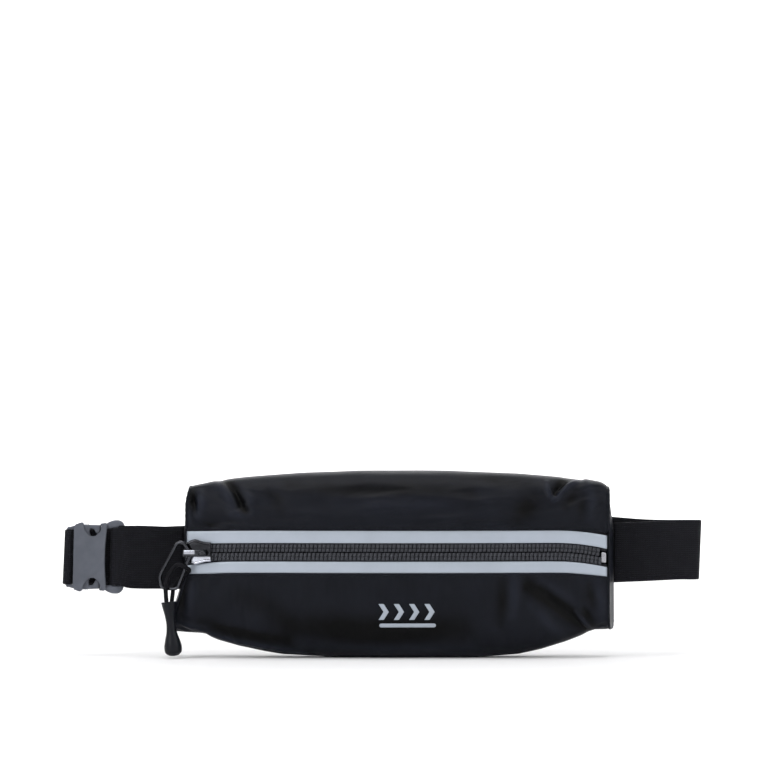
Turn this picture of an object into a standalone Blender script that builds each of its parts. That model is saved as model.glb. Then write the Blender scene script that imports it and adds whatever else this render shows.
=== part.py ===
"""Zipped running belt pouch on an elastic waist belt with a side release buckle.

Frame: +X along the belt (towards the wearer's left), -Y is the front, +Z is up. The pouch stands on
the flat of its belly at z = 0 and the origin is the middle of the footprint. Lengths are in metres.
"""
import math

import bmesh
import bpy
from mathutils import Vector

MM = 0.001
GAP = 0.3 * MM                      # clearance between pieces that touch or are sewn together

# Overall layout
HALF_SPAN = 159.4 * MM              # outermost webbing, left and right
POUCH_X = 8.5 * MM                  # middle of the pouch
HALF_LENGTH = 105.0 * MM            # half the zip opening's chord
ZIP_BOW = 13.0 * MM                 # how far the zip bows forward in the middle
FRONT_Y = -37.5 * MM                # zip tape's front face, middle of the pouch
MID_DEPTH = 39.0 * MM               # zip tape to back panel, middle of the pouch

# Fabric shell
WALL = 0.8 * MM
CREST_Z = 94.0 * MM
CREST_DROP = 7.4 * MM               # the top edge is this much lower at both ends
EAR_Z = 13.2 * MM                   # height of the bottom edge at both ends
FLAT_SHARE = 0.25                   # part of the half length that rests flat
EAR_SHARE = 0.93                    # where the level ends of the bottom edge start
SEAM_DROP = 5.0 * MM                # rear seams sit this far inside the top and the bottom
NOSE_SHARE = 0.55                   # part of the depth taken by the front's curve
SOLE_SHARE = 0.20                   # part of the depth that rests flat
BACK_BULGE = 2.6 * MM
RIGHT_FLARE = 3.0 * MM              # the end panels lean outwards to the rear, below the top corners
LEFT_FLARE = 1.2 * MM
LEFT_LEAN = 0.23                    # the left end also leans outwards below the zip, as a slope
LEAN_TOP_Z = 46.0 * MM
STATIONS = 22                       # along the length

# Zip
ZIP_Z = 53.0 * MM
TOOTH_PITCH = 2.05 * MM
ROW_HALF = 3.6 * MM                 # both rows of teeth, from the middle
ROW_SPLIT = 0.5 * MM                # half the slit that the slider's wedge runs in
TAPE_THICK = 0.6 * MM
TAPE_OUTER = 13.0 * MM              # zip tape's sewn edge, from the middle
CHAIN_FRONT = 1.5 * MM
CHAIN_REAR = -1.1 * MM
CHAIN_END = 0.985                   # share of the half length that the teeth and stops fill
BAND_INNER = 4.6 * MM               # reflective bands, from the zip's middle
BAND_UPPER_OUTER = 10.8 * MM
BAND_LOWER_OUTER = 10.3 * MM
BAND_THICK = 0.5 * MM

# Elastic belt
BELT_WIDTH = 30.0 * MM
BELT_THICK = 1.2 * MM
PLUG_WIDTH = 28.4 * MM              # narrowed where it passes through the buckle
LOOP_WIDTH = 27.8 * MM
REAR_BELT_Y = 38.4 * MM

# Buckle
BUCKLE_Y = -1.0 * MM
BUCKLE_Z = 49.8 * MM
SOCKET_MOUTH_X = -138.4 * MM
SOCKET_WALL_X = -153.8 * MM
SOCKET_BAR_X = -156.85 * MM
SOCKET_HALF = Vector((0, 4.0 * MM, 17.25 * MM))
CAVITY_HALF = Vector((0, 2.7 * MM, 15.6 * MM))
PLUG_HALF_Y = 2.3 * MM
PLUG_BAR_X = -131.6 * MM

# Slider and pull
SLIDER_X = -91.0 * MM               # middle of the slider with the zip closed
WIRE_R = 0.85 * MM
WIRE_FRONT = 5.2 * MM               # ring's wire, in front of the zip tape
CORD_R = 1.1 * MM

ZIP_RADIUS = (HALF_LENGTH ** 2 + ZIP_BOW ** 2) / (2 * ZIP_BOW)
HALF_ANGLE = math.asin(HALF_LENGTH / ZIP_RADIUS)
ZIP_CENTRE = Vector((POUCH_X, FRONT_Y + ZIP_RADIUS, 0))
BACK_Y = FRONT_Y + MID_DEPTH
SLIDER_ANGLE = math.asin((SLIDER_X - POUCH_X) / ZIP_RADIUS)


# ---------------------------------------------------------------- scene and object helpers

def clear_scene():
    for old in list(bpy.data.objects):
        bpy.data.objects.remove(old, do_unlink=True)


def make_collection(name):
    group = bpy.data.collections.new(name)
    bpy.context.scene.collection.children.link(group)
    return group


clear_scene()
PARTS = make_collection("running_belt_pouch")
CUTTERS = make_collection("cutters")


def make_material(name, colour, roughness, metallic=0.0):
    material = bpy.data.materials.new(name)
    material.use_nodes = True
    shader = material.node_tree.nodes["Principled BSDF"]
    shader.inputs["Base Color"].default_value = (*colour, 1)
    shader.inputs["Roughness"].default_value = roughness
    shader.inputs["Metallic"].default_value = metallic
    material.diffuse_color = (*colour, 1)
    return material


SHELL_FABRIC = make_material("shell_fabric", (0.012, 0.014, 0.020), 0.75)
ZIP_FABRIC = make_material("zip_tape", (0.010, 0.010, 0.013), 0.85)
ZIP_TEETH = make_material("zip_teeth", (0.020, 0.021, 0.025), 0.40)
REFLECTIVE = make_material("reflective_band", (0.38, 0.42, 0.48), 0.45, 0.2)
ELASTIC = make_material("elastic_webbing", (0.008, 0.008, 0.011), 0.90)
BUCKLE_PLASTIC = make_material("buckle_plastic", (0.115, 0.125, 0.150), 0.45)
SLIDER_METAL = make_material("slider_metal", (0.060, 0.062, 0.070), 0.25, 1.0)
STOP_METAL = make_material("stop_metal", (0.30, 0.30, 0.32), 0.30, 1.0)
PULL_CORD = make_material("pull_cord", (0.010, 0.010, 0.013), 0.80)
TIP_RUBBER = make_material("tip_rubber", (0.016, 0.018, 0.024), 0.50)


def add_object(name, data, material, group=PARTS, parent=None):
    thing = bpy.data.objects.new(name, data)
    group.objects.link(thing)
    thing.parent = parent
    if material is not None:
        data.materials.append(material)
    return thing


def add_axis(name, location, turn=0.0, parent=None):
    """An empty on a joint's axis, turned about +Z, that carries the pieces which move on it."""
    axis = bpy.data.objects.new(name, None)
    axis.location = location
    axis.rotation_euler = (0, 0, turn)
    axis.parent = parent
    PARTS.objects.link(axis)
    return axis


def add_mesh(name, build, material, group=PARTS, parent=None):
    """Run build(bm) on an empty bmesh, and keep the result with its faces pointing out."""
    mesh = bpy.data.meshes.new(name)
    bm = bmesh.new()
    build(bm)
    bmesh.ops.recalc_face_normals(bm, faces=bm.faces)
    bm.to_mesh(mesh)
    bm.free()
    return add_object(name, mesh, material, group, parent)


def smooth(thing, angle=40):
    thing.data.shade_smooth()
    thing.data.set_sharp_from_angle(angle=math.radians(angle))
    return thing


def add_box(name, low, high, material, group=PARTS, parent=None, bevel=0.0, segments=2):
    low = Vector(low)
    high = Vector(high)

    def build(bm):
        bmesh.ops.create_cube(bm, size=1.0)
        bmesh.ops.scale(bm, vec=high - low, verts=bm.verts)

    box = add_mesh(name, build, material, group, parent)
    box.location = (low + high) / 2
    if bevel:
        rounding = box.modifiers.new("Rounded edges", "BEVEL")
        rounding.width = bevel
        rounding.segments = segments
    return box


def helper_box(name, low, high, bevel=0.0, parent=None, segments=3):
    """A box that is only joined to, or cut from, another piece."""
    box = add_box(name, low, high, None, CUTTERS, parent, bevel, segments)
    hide_helper(box)
    return box


def hide_helper(thing):
    thing.hide_render = True
    thing.display_type = "WIRE"


def combine(base, operation, *others):
    for other in others:
        step = base.modifiers.new(other.name, "BOOLEAN")
        step.operation = operation
        step.solver = "EXACT"
        step.object = other
    return base


def surface(bm, rows):
    """Quads over rows of points."""
    grid = [[bm.verts.new(point) for point in row] for row in rows]
    for near, far in zip(grid, grid[1:]):
        for a, b, c, d in zip(near, near[1:], far[1:], far):
            bm.faces.new((a, b, c, d))


def add_cloth(name, rows, material, thickness):
    """An open surface over rows of points, thickened evenly to both sides."""
    cloth = add_mesh(name, lambda bm: surface(bm, rows), material)
    thick = cloth.modifiers.new("Cloth thickness", "SOLIDIFY")
    thick.thickness = thickness
    thick.offset = 0
    thick.use_even_offset = True
    return smooth(cloth)


def loft(bm, rings):
    """A closed body through rings of equal length, with a cap at each end."""
    loops = [[bm.verts.new(point) for point in ring] for ring in rings]
    for near, far in zip(loops, loops[1:]):
        for i, start in enumerate(near):
            j = (i + 1) % len(near)
            bm.faces.new((start, near[j], far[j], far[i]))
    bm.faces.new(reversed(loops[0]))
    bm.faces.new(loops[-1])


def add_wire(name, points, radius, material, parent=None, cyclic=False, resolution=2):
    curve = bpy.data.curves.new(name, "CURVE")
    curve.dimensions = "3D"
    curve.bevel_depth = radius
    curve.bevel_resolution = resolution
    curve.use_fill_caps = True
    spline = curve.splines.new("POLY")
    spline.points.add(len(points) - 1)
    for slot, point in zip(spline.points, points):
        slot.co = (*point, 1)
    spline.use_cyclic_u = cyclic
    spline.use_smooth = True
    return add_object(name, curve, material, PARTS, parent)


def smooth_path(points, spacing):
    """Points a set distance apart on a Catmull-Rom curve through the given ones."""
    points = [Vector(p) for p in points]
    padded = [2 * points[0] - points[1], *points, 2 * points[-1] - points[-2]]
    path = [points[0]]
    for before, start, end, after in zip(padded, padded[1:], padded[2:], padded[3:]):
        steps = max(1, round((end - start).length / spacing))
        for i in range(1, steps + 1):
            t = i / steps
            path.append(0.5 * (2 * start + (end - before) * t
                               + (2 * before - 5 * start + 4 * end - after) * t ** 2
                               + (3 * start - before - 3 * end + after) * t ** 3))
    return path


# ---------------------------------------------------------------- the pouch's shape

def zip_place(t, front, z):
    """A point on the zip's arc: t runs from -1 to 1, front is out of the pouch."""
    angle = t * HALF_ANGLE
    radius = ZIP_RADIUS + front
    return Vector((ZIP_CENTRE.x + radius * math.sin(angle), ZIP_CENTRE.y - radius * math.cos(angle), z))


def depth_at(t):
    return BACK_Y - zip_place(t, 0, 0).y


def end_shift(side, share, z):
    """How far an end stands outwards, at a share of the depth and at height z."""
    below_top = min(1.0, max(0.0, (crest_z(side) - z) / (22 * MM)))
    if side > 0:
        return RIGHT_FLARE * share * below_top
    return -LEFT_FLARE * share * below_top - LEFT_LEAN * max(0.0, LEAN_TOP_Z - z)


def shell_point(t, depth, z):
    """A point of the shell, depth behind the zip's arc. The ends lean outwards."""
    side = 1 if t > 0 else -1
    shift = end_shift(side, depth / depth_at(t), z) * t ** 6
    return zip_place(t, 0, z) + Vector((shift, depth, 0))


def crest_z(t):
    return CREST_Z - WALL / 2 - CREST_DROP * abs(t) ** 2.6


def belly_z(t):
    rise = max(0.0, (abs(t) - FLAT_SHARE) / (EAR_SHARE - FLAT_SHARE))
    return WALL / 2 + EAR_Z * min(1.0, rise ** 2.4)


def corner_curve(t, steps):
    """A quarter of a superellipse, squarer towards the ends of the pouch."""
    power = 2 / (2.4 + 2.2 * t ** 4)
    for i in range(steps + 1):
        angle = math.pi / 2 * i / steps
        yield math.cos(angle) ** power if i < steps else 0.0, math.sin(angle) ** power


PANEL_FRONT = BAND_THICK / 2 + GAP + WALL / 2     # how far the panels' edges stand before the zip tape


def upper_section(t):
    """Depth and height from the upper band, over the crest, to the rear seam."""
    edge = ZIP_Z + BAND_UPPER_OUTER + GAP
    crest = crest_z(t)
    nose = NOSE_SHARE * depth_at(t)
    points = [(nose - (nose + PANEL_FRONT) * c, edge + (crest - edge) * s) for c, s in corner_curve(t, 8)]
    for i in range(1, 4):
        angle = math.pi / 2 * i / 3
        points.append((nose + (depth_at(t) - nose) * math.sin(angle),
                       crest - SEAM_DROP * (1 - math.cos(angle))))
    return points


def lower_section(t):
    """Depth and height from the lower band, under the belly, to the rear seam."""
    edge = ZIP_Z - BAND_LOWER_OUTER - GAP
    belly = belly_z(t)
    nose = NOSE_SHARE * depth_at(t)
    points = [(nose - (nose + PANEL_FRONT) * c, edge - (edge - belly) * s) for c, s in corner_curve(t, 9)]
    heel = nose + SOLE_SHARE * depth_at(t)
    for i in range(0, 4):
        angle = math.pi / 2 * i / 3
        points.append((heel + (depth_at(t) - heel) * math.sin(angle),
                       belly + SEAM_DROP * (1 - math.cos(angle))))
    return points


def back_section(t, steps=16):
    """Depth and height from the upper rear seam to the lower one, with a flat field in the middle."""
    top = crest_z(t) - SEAM_DROP - GAP
    bottom = belly_z(t) + SEAM_DROP + GAP
    points = []
    for i in range(steps + 1):
        share = i / steps
        swell = min(1.0, 4 * share, 4 * (1 - share)) * min(1.0, 2.0 * (1 - abs(t)))
        points.append((depth_at(t) + BACK_BULGE * swell, top + (bottom - top) * share))
    return points


def station_values():
    return [2 * i / STATIONS - 1 for i in range(STATIONS + 1)]


def shell_rows(section):
    return [[shell_point(t, depth, z) for depth, z in section(t)] for t in station_values()]


def make_panels():
    add_cloth("front_upper_panel", shell_rows(upper_section), SHELL_FABRIC, WALL)
    add_cloth("front_lower_panel", shell_rows(lower_section), SHELL_FABRIC, WALL)
    add_cloth("back_panel", shell_rows(back_section), SHELL_FABRIC, WALL)


def make_end_panel(name, side):
    """The narrow gusset that closes one end, from the front seam to the rear seam."""
    front = upper_section(side)[8::-1] + lower_section(side)[:10]
    back = back_section(side, len(front) - 3)
    top_rear = (depth_at(side) - 4.0 * MM, front[0][1])
    bottom_rear = (depth_at(side) - 4.0 * MM, front[-1][1])
    rear = [top_rear, *back, bottom_rear]
    rows = []
    for (near, low), (far, high) in zip(front, rear):
        row = [shell_point(side, near + (far - near) * k / 4, low + (high - low) * k / 4) for k in range(5)]
        rows.append([point + Vector((side * (GAP + WALL / 2), 0, 0)) for point in row])
    add_cloth(name, rows, SHELL_FABRIC, WALL)


def end_face_x(side, y, z):
    """The outer face of an end panel, at depth y and height z."""
    share = (y - zip_place(side, 0, 0).y) / depth_at(side)
    return zip_place(side, 0, 0).x + end_shift(side, share, z) + side * (GAP + WALL)


# ---------------------------------------------------------------- zip

def add_arc_bar(name, material, z_range, front_range, t_range, steps):
    """A rectangular section swept along the zip's arc."""
    (z0, z1), (f0, f1), (t0, t1) = z_range, front_range, t_range
    rings = []
    for i in range(steps + 1):
        t = t0 + (t1 - t0) * i / steps
        rings.append([zip_place(t, f0, z0), zip_place(t, f1, z0), zip_place(t, f1, z1), zip_place(t, f0, z1)])
    return add_mesh(name, lambda bm: loft(bm, rings), material)


def make_tapes_and_bands():
    reach = (-CHAIN_END, CHAIN_END)
    inner = ROW_HALF + GAP
    tape = (-TAPE_THICK, 0)
    band = (GAP, GAP + BAND_THICK)
    add_arc_bar("upper_zip_tape", ZIP_FABRIC, (ZIP_Z + inner, ZIP_Z + TAPE_OUTER), tape, reach, 20)
    add_arc_bar("lower_zip_tape", ZIP_FABRIC, (ZIP_Z - TAPE_OUTER, ZIP_Z - inner), tape, reach, 20)
    add_arc_bar("upper_reflective_band", REFLECTIVE, (ZIP_Z + BAND_INNER, ZIP_Z + BAND_UPPER_OUTER),
                band, reach, 20)
    add_arc_bar("lower_reflective_band", REFLECTIVE, (ZIP_Z - BAND_LOWER_OUTER, ZIP_Z - BAND_INNER),
                band, reach, 20)


def make_teeth(name, side):
    """One row of teeth as a ribbed strip: full height at each tooth, lower between them."""
    start = -CHAIN_END + 0.035
    stop = CHAIN_END - 0.040
    pitch = TOOTH_PITCH / (ZIP_RADIUS * HALF_ANGLE)
    rings = []
    for i in range(2 * int((stop - start) / pitch) + 1):
        t = start + i * pitch / 2
        tall = i % 2 == 0
        front = CHAIN_FRONT if tall else CHAIN_FRONT - 0.5 * MM
        outer = ROW_HALF if tall else ROW_HALF - 0.5 * MM
        near = ZIP_Z + side * ROW_SPLIT
        far = ZIP_Z + side * outer
        rings.append([zip_place(t, CHAIN_REAR, near), zip_place(t, front, near),
                      zip_place(t, front, far), zip_place(t, CHAIN_REAR, far)])
    add_mesh(name, lambda bm: loft(bm, rings), ZIP_TEETH)


def make_stops():
    section = (CHAIN_REAR, CHAIN_FRONT)
    reach = (-CHAIN_END, -CHAIN_END + 0.025)
    for name, side in (("upper_top_stop", 1), ("lower_top_stop", -1)):
        heights = sorted((ZIP_Z + side * ROW_SPLIT, ZIP_Z + side * ROW_HALF))
        add_arc_bar(name, STOP_METAL, heights, section, reach, 1)
    add_arc_bar("bottom_stop", STOP_METAL, (ZIP_Z - ROW_HALF, ZIP_Z + ROW_HALF), section,
                (CHAIN_END - 0.025, CHAIN_END), 1)


# ---------------------------------------------------------------- slider and pull

def local_box(name, x, front, z, parent, bevel=0.0):
    """A helper box in the slider's own frame: along the zip, out of the pouch, up from the zip."""
    return helper_box(name, (x[0], -ZIP_RADIUS - front[1], ZIP_Z + z[0]),
                      (x[1], -ZIP_RADIUS - front[0], ZIP_Z + z[1]), bevel, parent)


def make_slider(axis):
    """Two plates round the teeth, joined by a thin wedge that runs in the slit between the rows."""
    body = add_box("slider_body", (-7.2 * MM, -ZIP_RADIUS - 3.0 * MM, ZIP_Z - 5.9 * MM),
                   (6.2 * MM, -ZIP_RADIUS - 1.9 * MM, ZIP_Z + 5.9 * MM), SLIDER_METAL, PARTS, axis,
                   0.5 * MM)
    rear = local_box("slider_rear_plate", (-4.8 * MM, 6.0 * MM), (-2.7 * MM, -1.5 * MM),
                     (-5.4 * MM, 5.4 * MM), axis)
    wedge = local_box("slider_wedge", (-4.6 * MM, -1.6 * MM), (-1.8 * MM, 2.4 * MM),
                      (-0.2 * MM, 0.2 * MM), axis)
    combine(body, "UNION", wedge, rear)

    base = 3.0 * MM + GAP
    bridge = add_box("slider_bridge", (-7.2 * MM, -ZIP_RADIUS - 8.0 * MM, ZIP_Z - 2.4 * MM),
                     (4.6 * MM, -ZIP_RADIUS - base, ZIP_Z + 1.4 * MM), SLIDER_METAL, PARTS, axis,
                     0.6 * MM)
    arch = local_box("bridge_arch", (-6.2 * MM, 1.8 * MM), (base - 1 * MM, 6.9 * MM),
                     (-4 * MM, 4 * MM), axis, 0.5 * MM)
    combine(bridge, "DIFFERENCE", arch)


# The ring's centre line in its own frame: along the zip and up, from the axis that it flips about
RING_CORNERS = [(0.6, -0.4), (-3.2, 5.5), (-6.3, 5.0), (-15.4, -11.6), (-14.0, -17.7), (-6.4, -17.9)]
RING_AXIS = Vector((-3.1 * MM, -ZIP_RADIUS - WIRE_FRONT, ZIP_Z - 0.5 * MM))


def round_corners(corners, radius, steps=3):
    """A closed outline with each corner replaced by a short arc."""
    path = []
    count = len(corners)
    for i, corner in enumerate(corners):
        before = (corners[i - 1] - corner).normalized()
        after = (corners[(i + 1) % count] - corner).normalized()
        start = corner + before * radius
        end = corner + after * radius
        for k in range(steps + 1):
            s = k / steps
            path.append(start * (1 - s) ** 2 + corner * 2 * s * (1 - s) + end * s ** 2)
    return path


def make_ring(axis):
    corners = [Vector((x * MM, 0, z * MM)) for x, z in RING_CORNERS]
    add_wire("pull_ring", round_corners(corners, 1.6 * MM), WIRE_R, SLIDER_METAL, axis, True)


# The cord's loop in the tip's frame: across, out of the pouch and up, from the ring's lowest wire.
# Both strands start in the tip and pass the lowest wire, one before it and the other behind it; the
# loop between them lies in the ring and goes round its inner side wire.
CORD_ROUTE = [(-1.3, 0.9, -8.4), (-1.35, 1.3, -6.0), (-1.4, 2.0, -3.0), (-1.4, 2.35, 0.2), (-1.1, 2.0, 3.2),
              (0.0, 1.7, 6.6), (2.0, 1.5, 9.8), (4.3, 1.8, 11.8), (6.6, 2.35, 11.8), (8.6, 2.1, 10.8),
              (10.0, 0.3, 9.6), (9.3, -1.7, 8.5), (7.3, -2.35, 7.2), (5.0, -2.35, 5.2), (2.9, -2.35, 2.6),
              (1.4, -2.2, 0.0), (1.1, -1.6, -3.0), (0.9, -0.9, -6.0), (0.8, -0.6, -8.4)]
TIP_MOUTH_DROP = 6.6 * MM
# Radius and drop from the mouth: the wall of the recess, then the outside, then the round end
TIP_PROFILE = [(0.0, -2.2), (3.0, -2.2), (3.2, 0.0), (3.9, -0.2), (3.45, -2.8), (2.8, -6.2), (2.4, -9.5),
               (2.35, -12.0), (2.75, -15.5), (3.7, -19.0), (4.4, -22.2), (4.1, -25.2), (2.5, -26.7),
               (0.0, -27.1)]


def make_tip(axis):
    route = [Vector((x * MM, -front * MM, z * MM)) for x, front, z in CORD_ROUTE]
    add_wire("pull_cord", smooth_path(route, 2 * CORD_R), CORD_R, PULL_CORD, axis)

    profile = bpy.data.meshes.new("pull_tip")
    points = [(radius * MM, 0, drop * MM) for radius, drop in TIP_PROFILE]
    profile.from_pydata(points, [(i, i + 1) for i in range(len(points) - 1)], [])
    tip = add_object("pull_tip", profile, TIP_RUBBER, PARTS, axis)
    tip.location = (-0.4 * MM, 0, -TIP_MOUTH_DROP)
    tip.rotation_euler = (0, math.radians(-5), 0)
    turn = tip.modifiers.new("Turned", "SCREW")
    turn.steps = 14
    turn.render_steps = 14
    turn.use_merge_vertices = True
    turn.merge_threshold = 0.01 * MM
    turn.use_smooth_shade = True


def make_pull():
    travel = add_axis("zip_travel_axis", ZIP_CENTRE, SLIDER_ANGLE)
    make_slider(travel)
    flip = add_axis("ring_flip_axis", RING_AXIS, 0.0, travel)
    make_ring(flip)
    low_wire = (RING_CORNERS[-1][0] + RING_CORNERS[-2][0]) / 2, (RING_CORNERS[-1][1] + RING_CORNERS[-2][1]) / 2
    swing = add_axis("tip_swing_axis", (low_wire[0] * MM, 0, low_wire[1] * MM), 0.0, flip)
    make_tip(swing)


# ---------------------------------------------------------------- buckle

def buckle_point(x, y, z):
    return Vector((x, BUCKLE_Y + y, BUCKLE_Z + z))


def make_socket():
    """The housing that the prongs snap into, with a bar for the webbing at its outer end."""
    half = SOCKET_HALF
    housing = add_box("socket_housing", buckle_point(SOCKET_WALL_X, -half.y, -half.z),
                      buckle_point(SOCKET_MOUTH_X, half.y, half.z), BUCKLE_PLASTIC, bevel=1.3 * MM)
    joined = []
    for name, side in (("socket_rail_upper", 1), ("socket_rail_lower", -1)):
        low, high = sorted((side * 14.3 * MM, side * 16.6 * MM))
        joined.append(helper_box(name, buckle_point(-158.4 * MM, -2.0 * MM, low),
                                 buckle_point(SOCKET_WALL_X + 1.4 * MM, 2.0 * MM, high), 0.7 * MM))
    joined.append(helper_box("socket_bar", buckle_point(SOCKET_BAR_X - 0.95 * MM, -1.2 * MM, -15 * MM),
                             buckle_point(SOCKET_BAR_X + 0.95 * MM, 1.2 * MM, 15 * MM), 0.4 * MM))
    combine(housing, "UNION", *joined)

    cavity = CAVITY_HALF
    cuts = [helper_box("socket_cavity", buckle_point(SOCKET_WALL_X + 1.0 * MM, -cavity.y, -cavity.z),
                       buckle_point(SOCKET_MOUTH_X + 5 * MM, cavity.y, cavity.z))]
    for name, side in (("socket_window_upper", 1), ("socket_window_lower", -1)):
        low, high = sorted((side * 9.8 * MM, side * 24 * MM))
        cuts.append(helper_box(name, buckle_point(-151.3 * MM, -8 * MM, low),
                               buckle_point(-141.2 * MM, 8 * MM, high), 2.6 * MM))
    combine(housing, "DIFFERENCE", *cuts)


def make_plug():
    """The male half: a base in the socket's mouth, a guide tongue, two rails and the webbing's bar."""
    depth = PLUG_HALF_Y
    base = add_box("plug_base", buckle_point(-142.4 * MM, -depth, -13.0 * MM),
                   buckle_point(-138.9 * MM, depth, 13.0 * MM), BUCKLE_PLASTIC)
    joined = [helper_box("plug_tongue", buckle_point(-151.6 * MM, -depth, -3.2 * MM),
                         buckle_point(-142.0 * MM, depth, 3.2 * MM), 0.8 * MM),
              helper_box("plug_bar", buckle_point(PLUG_BAR_X - 1.7 * MM, -1.2 * MM, -15.4 * MM),
                         buckle_point(PLUG_BAR_X + 1.7 * MM, 1.2 * MM, 15.4 * MM), 0.5 * MM)]
    for name, side in (("upper", 1), ("lower", -1)):
        low, high = sorted((side * 12.4 * MM, side * 15.2 * MM))
        joined.append(helper_box("plug_shoulder_" + name, buckle_point(-140.6 * MM, -depth, low),
                                 buckle_point(-136.6 * MM, depth, high)))
        low, high = sorted((side * 14.6 * MM, side * 17.9 * MM))
        joined.append(helper_box("plug_rail_" + name, buckle_point(-138.0 * MM, -2.5 * MM, low),
                                 buckle_point(-128.6 * MM, 2.5 * MM, high), 1.1 * MM))
    combine(base, "UNION", *joined)


PRONG_PIVOT = Vector((-142.6 * MM, BUCKLE_Y, 10.8 * MM))
# Along the buckle and away from its middle line: arm, snap head, step and root
PRONG_OUTLINE = [(-142.75, 9.6), (-146.5, 10.1), (-150.6, 12.1), (-151.6, 14.2), (-150.9, 15.9), (-149.6, 16.9),
                 (-147.5, 17.0), (-147.2, 13.6), (-145.0, 12.4), (-142.75, 11.9)]


def make_prong(name, side):
    """A spring arm of the plug with its snap head, which shows in the socket's window."""
    pivot = Vector((PRONG_PIVOT.x, BUCKLE_Y, BUCKLE_Z + side * PRONG_PIVOT.z))
    outline = [Vector((x * MM, 0, BUCKLE_Z + side * z * MM)) - Vector((pivot.x, 0, pivot.z))
               for x, z in PRONG_OUTLINE]
    near = [point + Vector((0, -PLUG_HALF_Y, 0)) for point in outline]
    far = [point + Vector((0, PLUG_HALF_Y, 0)) for point in outline]
    prong = add_mesh(name, lambda bm: loft(bm, [near, far]), BUCKLE_PLASTIC)
    prong.location = pivot


# ---------------------------------------------------------------- belt

def ribbon_rows(path):
    """Rows across webbing on edge, from plan points that each have a middle height and a width."""
    return [[(x, y, z - width / 2), (x, y, z + width / 2)] for x, y, z, width in path]


def level(plan, first, last):
    """Give plan points their middle height and width, even steps from the first pair to the last."""
    steps = max(1, len(plan) - 1)
    return [(x, y, *(a + (b - a) * i / steps for a, b in zip(first, last)))
            for i, (x, y) in enumerate(plan)]


def plan_arc(centre, radius, start, end, steps):
    """Points on an arc in plan, with angles in degrees from +X towards +Y."""
    points = []
    for i in range(steps + 1):
        angle = math.radians(start + (end - start) * i / steps)
        points.append((centre[0] + radius * math.cos(angle), centre[1] + radius * math.sin(angle)))
    return points


LAYER = BELT_THICK + GAP            # two layers of webbing sewn together, middle to middle


def make_left_belt():
    """From the pouch's left seam, round the plug's bar and back behind itself, where it is sewn."""
    wrap = 1.2 * MM + GAP + BELT_THICK / 2
    seam_y = BACK_Y - 3.0 * MM
    front = [(-112 * MM, -2.4 * MM), (-122 * MM, -2.6 * MM), (PLUG_BAR_X, BUCKLE_Y - wrap)]
    turn = plan_arc((PLUG_BAR_X - 0.8 * MM, BUCKLE_Y), wrap, 270, 90, 8)
    back = [(PLUG_BAR_X + 1.2 * MM, BUCKLE_Y + wrap), (-124.5 * MM, -2.5 * MM + LAYER),
            (-113.5 * MM, -2.4 * MM + LAYER)]
    at_seam = (50.6 * MM, BELT_WIDTH)
    at_plug = (BUCKLE_Z, PLUG_WIDTH)
    edges = at_seam[0] - BELT_WIDTH / 2, at_seam[0] + BELT_WIDTH / 2
    rows = [[(end_face_x(-1, seam_y, z) - GAP, seam_y, z) for z in edges]]
    rows += ribbon_rows(level(front, at_seam, at_plug) + level(turn + back, at_plug, at_plug))
    add_cloth("left_belt", rows, ELASTIC, BELT_THICK)


def make_long_belt():
    """From the right seam out to a fold, behind the pouch, and round the socket's bar."""
    seam_y = BACK_Y - 3.0 * MM
    start = [(end_face_x(1, seam_y, ZIP_Z) + GAP, seam_y), (135 * MM, -0.8 * MM), (150 * MM, -0.2 * MM)]
    fold = plan_arc((HALF_SPAN - BELT_THICK / 2 - 4.5 * MM, 4.4 * MM), 4.5 * MM, -85, 70, 7)
    near = [(135 * MM, 15.5 * MM), (105 * MM, 25.0 * MM)]
    rear = [(70 * MM, 32.6 * MM), (35 * MM, 36.6 * MM), (0, REAR_BELT_Y), (-35 * MM, 36.2 * MM),
            (-70 * MM, 31.4 * MM), (-105 * MM, 22.4 * MM), (-130 * MM, 12.4 * MM),
            (-145 * MM, 7.4 * MM), (-153.0 * MM, 6.1 * MM)]
    wrap = HALF_SPAN - BELT_THICK / 2 + SOCKET_BAR_X
    loop = plan_arc((SOCKET_BAR_X, BUCKLE_Y + 1.9 * MM), wrap, 120, 180, 3)
    loop += plan_arc((SOCKET_BAR_X, BUCKLE_Y - 0.1 * MM), wrap, 180, 360, 10)
    tail = [(SOCKET_BAR_X + wrap, 0.8 * MM), (-154.5 * MM, 2.6 * MM), (-153.2 * MM, 3.9 * MM),
            (-150 * MM, 4.1 * MM), (-140 * MM, 4.2 * MM)]
    at_seam = (51.9 * MM, BELT_WIDTH)
    at_fold = (53.3 * MM, BELT_WIDTH)
    at_back = (55.2 * MM, BELT_WIDTH)
    at_socket = (BUCKLE_Z, LOOP_WIDTH)
    path = level(start, at_seam, at_fold) + level(fold, at_fold, at_fold) + level(near, at_fold, at_back)
    path += level(rear, at_back, at_socket) + level(loop + tail, at_socket, at_socket)
    add_cloth("long_belt", ribbon_rows(path), ELASTIC, BELT_THICK)


# ---------------------------------------------------------------- printed mark

def lower_front_point(x, z, front):
    """A point on the lower panel's front, front out from its middle surface."""
    t = math.asin((x - POUCH_X) / ZIP_RADIUS) / HALF_ANGLE
    edge = ZIP_Z - BAND_LOWER_OUTER - GAP
    nose = NOSE_SHARE * depth_at(t)
    power = 2.4 + 2.2 * t ** 4
    drop = (edge - z) / (edge - belly_z(t))
    depth = nose - (nose + PANEL_FRONT) * (1 - drop ** power) ** (1 / power)
    return shell_point(t, depth - front, z)


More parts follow.
